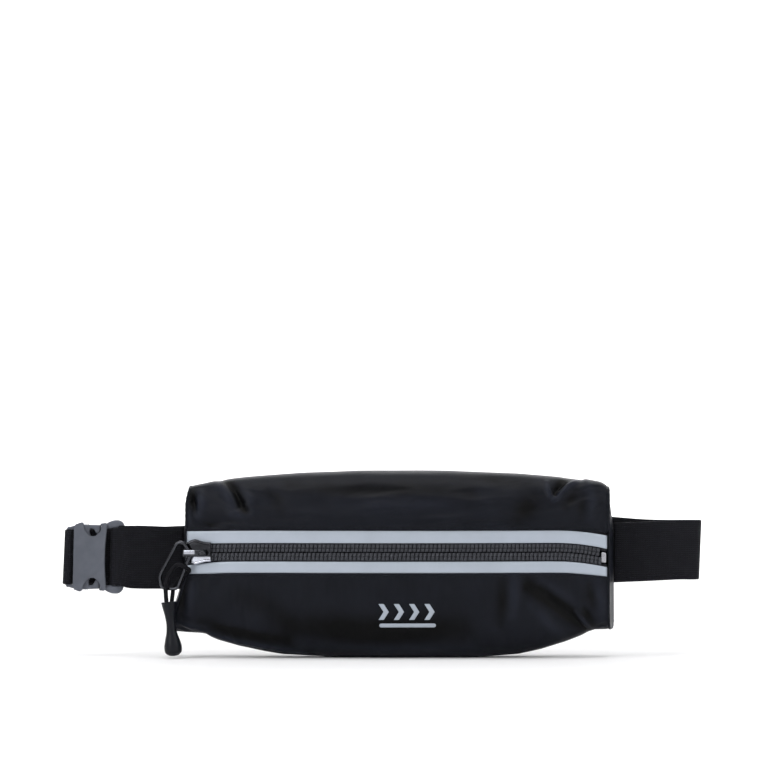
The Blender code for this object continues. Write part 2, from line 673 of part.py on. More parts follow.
def make_mark():
    """A thin reflective transfer on the lower panel, a plain rounded patch."""
    rows = []
    for i in range(9):
        x = (-2.5 + 32 * i / 8) * MM
        inset = 2.0 * MM if i in (0, 8) else 0.0
        low, high = 14.5 * MM + inset, 28.5 * MM - inset
        rows.append([lower_front_point(x, low + (high - low) * k / 4, WALL / 2 + 0.55 * MM) for k in range(5)])
    add_cloth("reflective_mark", rows, REFLECTIVE, 0.25 * MM)


# ---------------------------------------------------------------- assembly

def main():
    make_panels()
    make_end_panel("left_end_panel", -1)
    make_end_panel("right_end_panel", 1)
    make_tapes_and_bands()
    make_teeth("upper_zip_teeth", 1)
    make_teeth("lower_zip_teeth", -1)
    make_stops()
    make_mark()
    make_pull()
    make_left_belt()
    make_long_belt()
    make_plug()
    make_prong("plug_prong_upper", 1)
    make_prong("plug_prong_lower", -1)
    make_socket()


main()
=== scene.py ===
"""The looks of a zipped running belt pouch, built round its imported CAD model.

Frame: +X along the belt, -Y is the front, +Z is up, the pouch stands at z = 0. Shapes are worked out in
millimetres as numpy arrays and turned into metres when a mesh is made.
"""

import math

import bpy
import numpy as np
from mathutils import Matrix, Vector, noise
from mathutils.bvhtree import BVHTree


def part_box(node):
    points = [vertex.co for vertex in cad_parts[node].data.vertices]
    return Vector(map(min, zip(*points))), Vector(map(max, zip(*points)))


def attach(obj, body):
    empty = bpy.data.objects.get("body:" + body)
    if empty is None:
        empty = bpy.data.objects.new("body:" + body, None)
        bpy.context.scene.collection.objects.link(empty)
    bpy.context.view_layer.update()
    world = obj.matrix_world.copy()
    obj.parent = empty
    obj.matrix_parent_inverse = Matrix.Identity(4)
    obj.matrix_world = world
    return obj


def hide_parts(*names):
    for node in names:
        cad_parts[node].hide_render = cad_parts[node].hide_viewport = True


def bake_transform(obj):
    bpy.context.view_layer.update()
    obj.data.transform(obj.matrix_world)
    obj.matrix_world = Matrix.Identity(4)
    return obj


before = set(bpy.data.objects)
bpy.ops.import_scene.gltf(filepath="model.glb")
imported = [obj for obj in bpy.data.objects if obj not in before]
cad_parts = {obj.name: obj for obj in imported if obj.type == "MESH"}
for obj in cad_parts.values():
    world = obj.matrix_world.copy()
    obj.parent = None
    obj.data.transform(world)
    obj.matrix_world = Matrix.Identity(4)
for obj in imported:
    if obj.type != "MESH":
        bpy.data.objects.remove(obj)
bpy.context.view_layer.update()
MM = 0.001


def node_box(name):
    """Lowest and highest corner of a CAD node, in millimetres."""
    low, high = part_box(name)
    return np.array(low) / MM, np.array(high) / MM


# ---------------------------------------------------------------- driving sizes, in millimetres
TAPE_BOX = node_box("upper_zip_tape")

POUCH_X = (TAPE_BOX[0][0] + TAPE_BOX[1][0]) / 2
FRONT_Y = TAPE_BOX[0][1]            # front face of the zip tape, middle of the pouch
HALF_LENGTH = 105.0                 # half the zip opening's chord
ZIP_BOW = 13.0
ZIP_R = (HALF_LENGTH ** 2 + ZIP_BOW ** 2) / (2 * ZIP_BOW)
HALF_ANGLE = math.asin(HALF_LENGTH / ZIP_R)
HALF_ARC = ZIP_R * HALF_ANGLE
BACK_Y = FRONT_Y + 39.0
ZIP_Z = 53.0
WALL = 0.8
TAPE_T = 0.6                        # the zip's tapes
GAP = 0.3                           # between pieces that are sewn or lie together
PANEL_FRONT = 0.95                  # how far the panels' edges stand before the zip tape
BAND_IN = 4.6                       # reflective bands, from the zip's middle
BAND_OUT_UP = 10.8
BAND_OUT_LOW = 10.3
NOSE_SHARE = 0.55
SOLE_SHARE = 0.20
SEAM_DROP = 5.0
RIGHT_FLARE = 3.0
LEFT_FLARE = 1.2
LEFT_LEAN = 0.23
LEAN_TOP_Z = 46.0
CHAIN_END = 0.985
TOOTH_PITCH = 2.05
BUCKLE_Y = -1.0
BUCKLE_Z = 49.8
SLIDER_X = -91.0
SLIDER_ANGLE = math.asin((SLIDER_X - POUCH_X) / ZIP_R)


# ---------------------------------------------------------------- shader helpers

class Shader:
    """A Principled material and short calls for the nodes that feed it."""

    def __init__(self, name, colour, roughness, **sockets):
        self.material = bpy.data.materials.new(name)
        self.material.use_nodes = True
        self.tree = self.material.node_tree
        self.main = self.tree.nodes["Principled BSDF"]
        self.main.inputs["Base Color"].default_value = (*colour, 1)
        self.main.inputs["Roughness"].default_value = roughness
        for socket, value in sockets.items():
            self.main.inputs[socket.replace("_", " ")].default_value = value
        self.colour = colour
        self.roughness = roughness

    def add(self, kind, links=(), **settings):
        made = self.tree.nodes.new("ShaderNode" + kind)
        for key, value in settings.items():
            if hasattr(made, key):
                setattr(made, key, value)
            else:
                made.inputs[key.replace("_", " ")].default_value = value
        for slot, source in dict(links).items():
            self.tree.links.new(source, made.inputs[slot])
        return made

    def math(self, operation, *values):
        made = self.add("Math", operation=operation)
        for slot, value in enumerate(values):
            if isinstance(value, (int, float)):
                made.inputs[slot].default_value = value
            else:
                self.tree.links.new(value, made.inputs[slot])
        return made.outputs[0]

    def attribute(self, name):
        return self.add("Attribute", attribute_name=name).outputs["Fac"]

    def coordinates(self, kind="UV"):
        return self.add("TexCoord").outputs[kind]

    def split(self, vector):
        return self.add("SeparateXYZ", {0: vector}).outputs

    def noise(self, vector, scale, detail=3.0, roughness=0.5):
        made = self.add("TexNoise", {"Vector": vector}, Scale=scale, Detail=detail, Roughness=roughness)
        return made.outputs["Fac"]

    def wave(self, value, period):
        """Height from 0 to 1, one wave in each period of a length in metres."""
        turned = self.math("MULTIPLY", value, 2 * math.pi / (period * MM))
        return self.math("MULTIPLY_ADD", self.math("SINE", turned), 0.5)

    def remap(self, value, start, end, low, high, **settings):
        """A value from start to end as one from low to high."""
        made = self.add("MapRange", {"Value": value}, From_Min=start, From_Max=end, To_Min=low,
                        To_Max=high, **settings)
        return made.outputs["Result"]

    def vary_colour(self, value, dark, light):
        """Colour between dark and light times the base, by a value from 0.25 to 0.75."""
        shade = self.remap(value, 0.25, 0.75, dark, light)
        base = self.add("VectorMath", {"Scale": shade}, operation="SCALE")
        base.inputs[0].default_value = self.colour
        self.tree.links.new(base.outputs[0], self.main.inputs["Base Color"])

    def vary_roughness(self, value, spread):
        gloss = self.remap(value, 0.0, 1.0, self.roughness - spread, self.roughness + spread)
        self.tree.links.new(gloss, self.main.inputs["Roughness"])

    def bump(self, value, depth, strength=1.0):
        """Relief of a real depth in millimetres, on top of any relief given before."""
        made = self.add("Bump", {"Height": value}, Distance=depth * MM, Strength=strength)
        before = self.main.inputs["Normal"].links
        if before:
            self.tree.links.new(before[0].from_socket, made.inputs["Normal"])
        self.tree.links.new(made.outputs[0], self.main.inputs["Normal"])


def woven(name, colour, roughness, pitch, depth, cloudy, pressed, **sockets):
    """Plain woven or knitted cloth, with UVs in metres: threads both ways, slow changes of tone, and where
    it carries pressed folds, painted shade in each crease's bottom and a painted highlight on the ridge
    beside it."""
    cloth = Shader(name, colour, roughness, **sockets)
    uv = cloth.coordinates()
    u, v, _ = cloth.split(uv)
    warp = cloth.wave(u, pitch)
    weft = cloth.wave(v, pitch)
    slow = cloth.noise(uv, cloudy)
    if pressed:
        # Painted shade in the bottom of each fold and painted highlight on its ridges, from the panel's fold
        # depths
        crease_shade = cloth.math("MULTIPLY", cloth.attribute("crease_shade"), 0.8)
        cloth.vary_colour(cloth.math("MULTIPLY_ADD", slow, 0.2, crease_shade), 0.1, 1.9)
    else:
        cloth.vary_colour(slow, 0.86, 1.16)
    cloth.vary_roughness(cloth.noise(uv, cloudy * 3), 0.05)
    cloth.bump(cloth.math("ADD", warp, weft), depth)
    cloth.bump(cloth.noise(uv, cloudy * 9), depth * 2.5)
    return cloth


def make_shell_fabric(name, pressed):
    """Matt black stretch fabric with a soft sheen and fine threads; pressed, with painted fold shade and
    highlights.
    """
    cloth = woven(name, (0.0060, 0.0070, 0.0108), 0.44, 0.55, 0.012, 55.0, pressed,
                  Sheen_Weight=0.02, Sheen_Roughness=0.35, Specular_IOR_Level=0.10)
    cloth.main.inputs["Sheen Tint"].default_value = (0.75, 0.8, 1.0, 1)
    return cloth.material


def make_elastic():
    """Ribbed knitted elastic: ribs along the belt and short cross threads."""
    cloth = Shader("scene_elastic", (0.0058, 0.0060, 0.0085), 0.78, Sheen_Weight=0.03, Sheen_Roughness=0.4,
                   Specular_IOR_Level=0.15)
    uv = cloth.coordinates()
    along, across, _ = cloth.split(uv)
    ribs = cloth.wave(across, 1.05)
    threads = cloth.wave(along, 0.85)
    knit = cloth.math("MULTIPLY_ADD", threads, 0.6, ribs)
    cloth.vary_colour(cloth.math("MULTIPLY", knit, 0.65), 0.75, 1.45)
    cloth.vary_roughness(cloth.noise(uv, 160.0), 0.08)
    cloth.bump(knit, 0.16)
    cloth.bump(cloth.noise(uv, 900.0), 0.05)
    return cloth.material


def make_tape_weave():
    """Zip tape: fine ribs along the zip, a little lighter on the threads."""
    cloth = Shader("scene_zip_tape", (0.016, 0.016, 0.020), 0.82, Specular_IOR_Level=0.2)
    uv = cloth.coordinates()
    along, across, _ = cloth.split(uv)
    ribs = cloth.wave(across, 0.7)
    cloth.vary_colour(ribs, 0.8, 1.3)
    cloth.bump(cloth.math("ADD", ribs, cloth.wave(along, 0.5)), 0.06)
    return cloth.material


def make_reflective():
    """Silver grey glass bead tape: fine grain, soft gloss, faint scuffs."""
    tape = Shader("scene_reflective", (0.395, 0.440, 0.505), 0.42, Metallic=0.25, Specular_IOR_Level=0.5)
    uv = tape.coordinates()
    beads = tape.add("TexVoronoi", {"Vector": uv}, Scale=2600.0).outputs["Distance"]
    slow = tape.noise(uv, 70.0, 4.0, 0.6)
    tape.vary_colour(slow, 0.95, 1.05)
    tape.vary_roughness(tape.noise(uv, 400.0), 0.07)
    tape.bump(beads, 0.03)
    tape.bump(slow, 0.05)
    return tape.material


def make_solid(name, colour, roughness, grain, depth, spread, shades, **sockets):
    """Metal, plastic or rubber: grain in object space, with uneven gloss and shade."""
    solid = Shader(name, colour, roughness, **sockets)
    place = solid.coordinates("Object")
    slow = solid.noise(place, grain / 6)
    solid.vary_colour(slow, *shades)
    solid.vary_roughness(solid.noise(place, grain / 2), spread)
    solid.bump(solid.noise(place, grain, 5.0), depth)
    return solid.material


HIGHLIGHT_BLUR = 0.35                   # how softly a painted highlight ends


def make_highlighted_plating(name, bright, left, right, low, high):
    """Dark plated casting, a painted highlight over a patch of the object, given in its own millimetres."""
    metal = Shader(name, (0.10, 0.103, 0.115), 0.17, Metallic=1.0)
    place = metal.coordinates("Object")
    x, _, height = metal.split(place)
    painted_highlight = 1.0
    # Painted highlight: 1 over the patch, softly falling to 0 beyond its edges
    for value, start, end in ((height, low, high), (x, left, right)):
        for edge, before in ((start, 0.0), (end, 1.0)):
            step = metal.remap(value, (edge - HIGHLIGHT_BLUR) * MM, (edge + HIGHLIGHT_BLUR) * MM, before,
                               1.0 - before, interpolation_type="SMOOTHSTEP")
            painted_highlight = metal.math("MULTIPLY", step, painted_highlight)
    slow = metal.math("MULTIPLY", metal.noise(place, 700.0), 0.25)
    metal.vary_colour(metal.math("MULTIPLY_ADD", painted_highlight, 0.45, metal.math("ADD", slow, 0.1)), 0.45, bright)
    metal.vary_roughness(metal.noise(place, 1100.0), 0.06)
    metal.bump(metal.noise(place, 2200.0, 5.0), 0.02)
    return metal.material


def make_worn_plastic():
    """Moulded acetal: satin, fine spark texture, edges rubbed a little lighter."""
    plastic = Shader("scene_buckle_plastic", (0.088, 0.096, 0.118), 0.42, Specular_IOR_Level=0.35)
    place = plastic.coordinates("Object")
    edge = plastic.add("NewGeometry").outputs["Pointiness"]
    worn = plastic.remap(edge, 0.50, 0.62, 0.0, 0.5)
    plastic.vary_colour(plastic.math("ADD", plastic.noise(place, 180.0), worn), 0.90, 1.12)
    plastic.vary_roughness(plastic.noise(place, 900.0), 0.06)
    plastic.bump(plastic.noise(place, 4200.0, 2.0), 0.03)
    return plastic.material


# The panels' fabric has painted fold shade and highlights; the edge fabric has none
FOLD_SHADED_FABRIC = make_shell_fabric("scene_shell_fabric_fold_shade", True)
PLAIN_FABRIC = make_shell_fabric("scene_edge_fabric", False)
ELASTIC = make_elastic()
TAPE = make_tape_weave()
REFLECTIVE = make_reflective()
DARK_THREAD = make_solid("scene_dark_thread", (0.0075, 0.0085, 0.0125), 0.7, 3000.0, 0.03, 0.05, (0.8, 1.2),
                         Specular_IOR_Level=0.1)
THREAD = make_solid("scene_thread", (0.016, 0.017, 0.022), 0.7, 3000.0, 0.03, 0.05, (0.8, 1.2),
                    Specular_IOR_Level=0.2)
TEETH = make_solid("scene_zip_teeth", (0.036, 0.038, 0.046), 0.50, 2500.0, 0.02, 0.06, (0.85, 1.2),
                   Specular_IOR_Level=0.3)
# The slider's and the bridge's castings have a painted highlight, a brighter patch in place of a lamp's
# reflection
CAST_METAL = make_highlighted_plating("scene_slider_plating", 7.0, -94.2, -80.0, 46.0, 50.6)
BRIDGE_METAL = make_highlighted_plating("scene_bridge_plating", 6.5, -98.0, -92.6, 52.1, 53.9)
RING_METAL = make_solid("scene_ring_metal", (0.060, 0.062, 0.070), 0.16, 900.0, 0.01, 0.05, (0.85, 1.15),
                        Metallic=1.0)
STEEL = make_solid("scene_stop_metal", (0.42, 0.42, 0.45), 0.28, 2000.0, 0.02, 0.06, (0.9, 1.1), Metallic=1.0)
CORD = make_solid("scene_cord", (0.0030, 0.0030, 0.0048), 0.66, 5200.0, 0.10, 0.05, (0.7, 1.5),
                  Specular_IOR_Level=0.14)
RUBBER = make_solid("scene_rubber", (0.0042, 0.0050, 0.0080), 0.36, 3600.0, 0.02, 0.05, (0.9, 1.1),
                    Specular_IOR_Level=0.2)
PLASTIC = make_worn_plastic()


# ---------------------------------------------------------------- mesh helpers

def new_object(name, data):
    thing = bpy.data.objects.new(name, data)
    bpy.context.scene.collection.objects.link(thing)
    return thing


def read_points(mesh):
    """A mesh's points in metres, one row each."""
    flat = np.zeros(len(mesh.vertices) * 3)
    mesh.vertices.foreach_get("co", flat)
    return flat.reshape(-1, 3)


def finish_piece(thing, material, body, slot, *nodes):
    """Give a new object its material, the body that it rides on and the CAD it stands for; the slot is not
    used.
    """
    thing.data.materials.clear()
    thing.data.materials.append(material)
    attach(thing, body)
    if nodes:
        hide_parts(*nodes)
    return thing


def mesh_object(name, points, faces, uvs=None):
    """Points in millimetres, faces as index tuples, and one UV in metres for each face corner."""
    mesh = bpy.data.meshes.new(name)
    mesh.from_pydata((np.asarray(points) * MM).tolist(), [], faces)
    if uvs is not None:
        layer = mesh.uv_layers.new(name="UVMap")
        layer.data.foreach_set("uv", (np.asarray(uvs, float).reshape(-1, 2)).ravel())
    mesh.shade_smooth()
    return new_object(name, mesh)


def arc_lengths(points):
    """Running length along rows of points."""
    steps = np.linalg.norm(np.diff(points, axis=0), axis=-1)
    return np.concatenate([np.zeros((1, *steps.shape[1:])), np.cumsum(steps, axis=0)])


def grid_object(name, points, wrap=False, cap=False):
    """Quads over an (n, m, 3) array; wrap closes the m way, cap fills both ends of a wrapped grid."""
    n, m, _ = points.shape
    u = arc_lengths(points).mean(axis=1) * MM
    closed = np.concatenate([points, points[:, :1]], axis=1) if wrap else points
    v = arc_lengths(closed[n // 2]) * MM
    faces = []
    uvs = []
    for i in range(n - 1):
        for j in range(m if wrap else m - 1):
            k = (j + 1) % m
            faces.append((i * m + j, i * m + k, (i + 1) * m + k, (i + 1) * m + j))
            uvs += [(u[i], v[j]), (u[i], v[j + 1]), (u[i + 1], v[j + 1]), (u[i + 1], v[j])]
    if cap:
        for row, order in ((0, -1), (n - 1, 1)):
            ring = [row * m + j for j in range(m)][::order]
            faces.append(tuple(ring))
            uvs += [(u[row], v[index % m]) for index in ring]
    return mesh_object(name, points.reshape(-1, 3), faces, uvs)


def smooth_path(points, spacing):
    """Points about a set distance apart on a Catmull-Rom curve through the given ones."""
    points = np.asarray(points, float)
    padded = np.concatenate([2 * points[:1] - points[1:2], points, 2 * points[-1:] - points[-2:-1]])
    path = []
    for before, start, end, after in zip(padded, padded[1:], padded[2:], padded[3:]):
        steps = max(1, round(np.linalg.norm(end - start) / spacing))
        for i in range(steps):
            t = i / steps
            path.append(0.5 * (2 * start + (end - before) * t
                               + (2 * before - 5 * start + 4 * end - after) * t ** 2
                               + (3 * start - before - 3 * end + after) * t ** 3))
    path.append(points[-1])
    return np.array(path)


def tube_rings(path, radius, sides=12, closed=False):
    """Rings of a round section along a path; radius is one number or one for each point."""
    path = np.asarray(path, float)
    radius = np.broadcast_to(np.asarray(radius, float), (len(path),))
    if closed:
        tangents = np.roll(path, -1, axis=0) - np.roll(path, 1, axis=0)
    else:
        tangents = np.gradient(path, axis=0)
    tangents /= np.linalg.norm(tangents, axis=1)[:, None]
    side = np.cross(tangents[0], (0.3, 0.2, 0.93))
    rings = []
    angles = 2 * np.pi * np.arange(sides) / sides
    for point, tangent, size in zip(path, tangents, radius):
        side = side - tangent * (side @ tangent)
        side /= np.linalg.norm(side)
        up = np.cross(tangent, side)
        rings.append(point + size * (np.cos(angles)[:, None] * side + np.sin(angles)[:, None] * up))
    return np.array(rings)


def tube_object(name, path, radius, sides=12, closed=False):
    rings = tube_rings(path, radius, sides, closed)
    if closed:
        rings = np.concatenate([rings, rings[:1]])
    return grid_object(name, rings, wrap=True, cap=not closed)


def join_pieces(name, parts):
    """One object out of several."""
    with bpy.context.temp_override(active_object=parts[0], selected_editable_objects=parts):
        bpy.ops.object.join()
    parts[0].name = name
    return parts[0]


def plate_object(name, outline, front, thick, bevel, place, segments=3):
    """A flat plate with rounded edges, from a closed outline of (across, up); place turns arrays of
    across, front and up into points."""
    curve = bpy.data.curves.new(name, "CURVE")
    curve.dimensions = "2D"
    curve.fill_mode = "BOTH"
    curve.extrude = max(thick / 2 - bevel, 0.01) * MM
    curve.bevel_depth = bevel * MM
    curve.bevel_resolution = segments
    curve.offset = -bevel * MM
    spline = curve.splines.new("POLY")
    spline.points.add(len(outline) - 1)
    for slot, (across, up) in zip(spline.points, outline):
        slot.co = (across * MM, up * MM, 0, 1)
    spline.use_cyclic_u = True
    maker = new_object(name + "_maker", curve)
    mesh = bpy.data.meshes.new_from_object(maker.evaluated_get(bpy.context.evaluated_depsgraph_get()))
    bpy.data.objects.remove(maker)
    co = read_points(mesh) / MM
    moved = place(co[:, 0], front + co[:, 2], co[:, 1])
    mesh.vertices.foreach_set("co", (moved * MM).ravel())
    mesh.name = name
    thing = new_object(name, mesh)
    weld = thing.modifiers.new("Weld", "WELD")
    weld.merge_threshold = 0.005 * MM
    mesh.shade_smooth()
    mesh.set_sharp_from_angle(angle=math.radians(38))
    return thing


def rectangle(left, low, right, high):
    return [(left, low), (right, low), (right, high), (left, high)]


def mirrored(half):
    """A closed outline from its upper half, given from left to right."""
    return half + [(x, -z) for x, z in half[::-1]]


def rounded_outline(corners, radius, steps=5):
    """A closed outline of (x, z) corners with each corner turned into an arc."""
    corners = [np.array(c, float) for c in corners]
    path = []
    for i, corner in enumerate(corners):
        before = corners[i - 1] - corner
        after = corners[(i + 1) % len(corners)] - corner
        reach = min(radius, 0.48 * np.linalg.norm(before), 0.48 * np.linalg.norm(after))
        start = corner + before / np.linalg.norm(before) * reach
        end = corner + after / np.linalg.norm(after) * reach
        for k in range(steps + 1):
            s = k / steps
            path.append(tuple(start * (1 - s) ** 2 + corner * 2 * s * (1 - s) + end * s ** 2))
    return path


def bead_faces(base, rows, sides):
    """Faces round and at both ends of a closed bead of rings, whose points start at base."""
    faces = []
    for i in range(rows - 1):
        a, b = base + i * sides, base + (i + 1) * sides
        for k in range(sides):
            j = (k + 1) % sides
            faces.append((a + k, a + j, b + j, b + k))
    faces.append(tuple(base + k for k in range(sides))[::-1])
    faces.append(tuple(base + (rows - 1) * sides + k for k in range(sides)))
    return faces


# ---------------------------------------------------------------- the pouch's shape

DROOP_RIGHT, DROOP_LEFT = 2.4, 0.7  # how far the zip's ends lie below its middle
DROOP_REACH = 19.0                  # and how far from the zip that is felt, up and down
ZIP_HANG = 1.0                      # the zip's own parts hang this much more at the right
BAND_SLACK = 1.6                    # and the lower band's left end this much


def droop(t):
    """The zip and its bands hang a little lower at both ends, most at the right."""
    right = DROOP_RIGHT * np.clip((t - 0.72) / 0.28, 0, 1.2) ** 2
    left = DROOP_LEFT * np.clip((-t - 0.55) / 0.45, 0, 1.2) ** 2
    return right + left


def sag(t, z):
    """Heights moved down with the zip's droop, less and less away from the zip."""
    return z - droop(t) * np.exp(-((z - ZIP_Z) / DROOP_REACH) ** 2)


def zip_place(t, front, z):
    """Points on the zip's arc, front is out of the pouch. t, front and z are arrays or numbers."""
    t, front, z = np.broadcast_arrays(np.asarray(t, float), front, z)
    angle = t * HALF_ANGLE
    radius = ZIP_R + front
    return np.stack([POUCH_X + radius * np.sin(angle), FRONT_Y + ZIP_R - radius * np.cos(angle),
                     sag(t, z)], axis=-1)


def depth_at(t):
    return BACK_Y - zip_place(t, 0, 0.0)[..., 1]


# Height of the top and bottom edges against t, from -1 at the pouch's left end to 1 at its right
CREST_T = [-1.0, -0.992, -0.975, -0.94, -0.88, -0.85, -0.825, -0.72, -0.46, -0.18, 0.24, 0.57, 0.79, 0.875,
           0.9, 0.965, 0.985, 0.994, 1.0]
CREST_H = [85.4, 86.0, 86.4, 87.0, 88.2, 88.2, 89.2, 90.4, 92.5, 93.7, 93.6, 92.2, 90.2, 88.6,
           89.3, 88.2, 87.4, 86.4, 84.9]
BELLY_T = [-1.0, -0.94, -0.885, -0.868, -0.85, -0.82, -0.736, -0.636, -0.54, -0.30, 0.0, 0.35, 0.57, 0.68,
           0.79, 0.864, 0.91, 0.93, 1.0]
BELLY_H = [13.7, 12.9, 12.6, 12.2, 10.6, 9.0, 6.2, 3.9, 2.1, 0.8, 0.45, 0.45, 2.1, 4.6,
           8.2, 11.3, 13.6, 14.4, 14.6]


def eased(t, knots, heights):
    """Heights at t, rounded a little at the knots."""
    reach = 0.005
    offsets = np.array([-1.5, -0.75, 0, 0.75, 1.5]) * reach
    weights = np.array([0.12, 0.24, 0.28, 0.24, 0.12])
    return sum(w * np.interp(t + o, knots, heights) for o, w in zip(offsets, weights))


def crest_z(t):
    return eased(t, CREST_T, CREST_H) - 0.4


def belly_z(t):
    return eased(t, BELLY_T, BELLY_H)


TOP_TUCK = 1.8                      # how far the left end's top corner is drawn in


def end_shift(t, share, z):
    """How far the ends stand outwards, at a share of the depth and at height z."""
    below_top = np.clip((crest_z(np.sign(t)) - z) / 22, 0, 1)
    right = RIGHT_FLARE * share * below_top
    lean = np.maximum(LEAN_TOP_Z - z, 0)
    left = -LEFT_FLARE * share * below_top - LEFT_LEAN * lean ** 2 / (lean + 5)
    left = left + TOP_TUCK * np.clip((z - 76) / 9, 0, 1) ** 1.5
    return np.where(t > 0, right, left) * np.abs(t) ** 6


EAR_KICK = 2.4                      # the lower left corner: how far out to the left
EAR_BACK = 2.6                      # and how far back


def shell_point(t, depth, z):
    """Points of the shell, depth behind the zip's arc."""
    place = zip_place(t, 0, z)
    place[..., 0] += end_shift(t, depth / depth_at(t), z)
    place[..., 1] += depth
    # The lower left corner kicks out to the left, behind the cord's rubber end
    kick = np.clip((-t - 0.80) / 0.20, 0, 1) ** 1.5 * np.clip((40 - z) / 24, 0, 1) ** 1.2
    place[..., 0] -= EAR_KICK * kick
    place[..., 1] += EAR_BACK * kick
    return place


def resample(points, count):
    """Evenly spaced points on a polyline."""
    length = arc_lengths(points)
    wanted = np.linspace(0, length[-1], count)
    return np.stack([np.interp(wanted, length, points[:, i]) for i in range(points.shape[1])], axis=1)


def quarter(t):
    """A quarter of a superellipse, squarer towards the ends of the pouch."""
    angles = np.linspace(0, np.pi / 2, 60)
    power = 2 / (2.4 + 2.2 * t ** 4)
    return np.cos(angles).clip(0) ** power, np.sin(angles) ** power


def front_section(t, count, edge, outer, sole, seam_drop):
    """Depth and height from a band's edge, round the nose to the crest or belly, and to the rear seam.
    The sole is the share of the depth that lies flat."""
    depth = depth_at(t)
    nose = NOSE_SHARE * depth
    heel = nose + sole * depth
    c, s = quarter(t)
    turn = np.linspace(0, np.pi / 2, 20)[0 if sole else 1:]
    front = np.stack([nose - (nose + PANEL_FRONT) * c, edge + (outer - edge) * s], axis=1)
    rear = np.stack([heel + (depth - heel) * np.sin(turn), outer + seam_drop * (1 - np.cos(turn))], axis=1)
    return resample(np.concatenate([front, rear]), count)


def upper_section(t, count):
    return front_section(t, count, ZIP_Z + BAND_OUT_UP + GAP, crest_z(t), 0, -SEAM_DROP)


def lower_section(t, count):
    return front_section(t, count, ZIP_Z - BAND_OUT_LOW - GAP, belly_z(t), SOLE_SHARE, SEAM_DROP)


def back_section(t, count):
    top = crest_z(t) - SEAM_DROP - GAP
    bottom = belly_z(t) + SEAM_DROP + GAP
    share = np.linspace(0, 1, count)
    swell = np.minimum(1, 4 * np.minimum(share, 1 - share)) * min(1.0, 2.0 * (1 - abs(t)))
    return np.stack([depth_at(t) + 2.2 * swell ** 0.8, top + (bottom - top) * share], axis=1)


def shell_surface(section, stations, count):
    rows = []
    for t in np.linspace(-1, 1, stations):
        cut = section(t, count)
        rows.append(shell_point(np.full(count, t), cut[:, 0], cut[:, 1]))
    return np.array(rows)


# ---------------------------------------------------------------- folds

# Each fold: a line on the front as (x, z) points, how far out it stands, and its half width. A negative
# height is a valley.
UPPER_FOLDS = [
    # The long S-shaped crease at the top left, deepest at its lower end, with a ridge on each side
    ([(-82, 90.5), (-76.5, 87.4), (-72.6, 83.6), (-70.6, 79.5), (-69.6, 76.2), (-67.2, 73.4)], -2.6, 1.8),
    ([(-70.4, 80.0), (-68.7, 76.6), (-67.6, 75.0)], -0.9, 2.4),
    ([(-86, 90), (-80.0, 86.5), (-76.3, 82), (-74, 77), (-72.6, 73)], 1.3, 2.8),
    ([(-69, 84.5), (-65.8, 80), (-64.4, 75)], 0.8, 2.2),
    ([(-73.5, 72.2), (-68, 71.4), (-64, 72.2)], 0.7, 2.0),
    # The dimple and the ridge beside the left seam
    ([(-94.0, 83), (-93.6, 79), (-93.2, 75)], -2.4, 2.2),
    ([(-90.2, 82.5), (-89.4, 77), (-90.5, 71)], 1.6, 2.0),
    ([(-96, 73), (-95.6, 67)], 0.8, 1.6),
    ([(-87.5, 67.4), (-84.5, 66.4), (-82, 66.8)], -0.9, 1.3),
    # The pocket at the top right: two bright lips that meet in a V, hollow between them
    ([(92.5, 89.5), (90.0, 86.5), (87.2, 82.6)], -3.0, 2.3),
    ([(102.5, 88.9), (97, 87.4), (93.5, 85.6), (89.8, 82.5), (88.7, 80.2), (86.3, 79.0)], 2.6, 1.0),
    ([(87.0, 79.0), (84.6, 81.0), (83.4, 84.4), (83.0, 87.5)], 2.0, 1.1),
    ([(97.5, 83.5), (95.0, 79.5), (92.5, 76)], -1.2, 2.4),
    ([(104.5, 86), (105.5, 78), (104.5, 70)], 0.9, 2.2),
    ([(101, 80), (100.2, 72)], -0.8, 2.6),
    ([(76, 80), (72, 74), (69, 70)], -1.2, 5.0),
    ([(40, 92), (60, 88.5), (74, 87.5)], -0.8, 3.0),
    ([(-45, 86), (-20, 84.0), (15, 84.6), (45, 83)], -0.9, 3.6),
    ([(-20, 78), (10, 76.4), (38, 77.2)], 0.5, 4.0),
    ([(-58, 86), (-52, 80), (-49, 73)], -0.6, 3.0),
]
LOWER_FOLDS = [
    # The crease over the bottom left corner and the long soft hollow under the print
    ([(-90, 13.6), (-84, 11.9), (-79, 10.4), (-74.3, 9.0), (-64.3, 7.4), (-49.3, 4.6), (-38, 3.0)],
     2.2, 0.95),
    ([(-90, 17.5), (-80, 14.6), (-70, 12.2), (-58, 10.2), (-46, 8.6)], -1.7, 2.6),
    ([(-45, 15.5), (-10, 13.0), (40, 14.5)], -1.7, 7.0),
    ([(-40, 7.5), (0, 4.8), (45, 5.4)], 0.9, 3.0),
    # The dark diagonal at the bottom right with a thin bright fold beyond it
    ([(74, 36), (83, 31), (91, 25.5), (98, 19.5), (104, 14.5)], -2.8, 3.6),
    ([(80, 38.5), (90, 32), (99, 24.5)], 1.0, 3.2),
    ([(97.5, 23.4), (101.0, 19.0), (105.2, 14.4)], 2.4, 1.0),
    ([(101.5, 24.5), (105.5, 19.5)], -1.5, 1.6),
    ([(66.5, 41), (66.8, 32), (65.5, 22)], 1.3, 3.0),
    ([(61.0, 38), (61.4, 28), (60, 18)], -1.1, 3.2),
    ([(76, 26), (84, 17.5), (90, 13)], 0.8, 2.6),
    ([(-97.5, 39), (-99, 30), (-100, 21)], -1.3, 2.4),
    ([(-93.5, 40), (-94.6, 30), (-96, 22)], 0.8, 2.2),
    ([(-101, 17.2), (-94, 15.8), (-86, 15.6)], 1.1, 1.6),
    ([(108.6, 38), (110.2, 28), (110.5, 20)], 1.1, 2.2),
    ([(104.6, 36), (106.2, 27)], -0.9, 2.2),
    ([(-70, 32), (-55, 26), (-45, 18)], -0.6, 5.0),
]


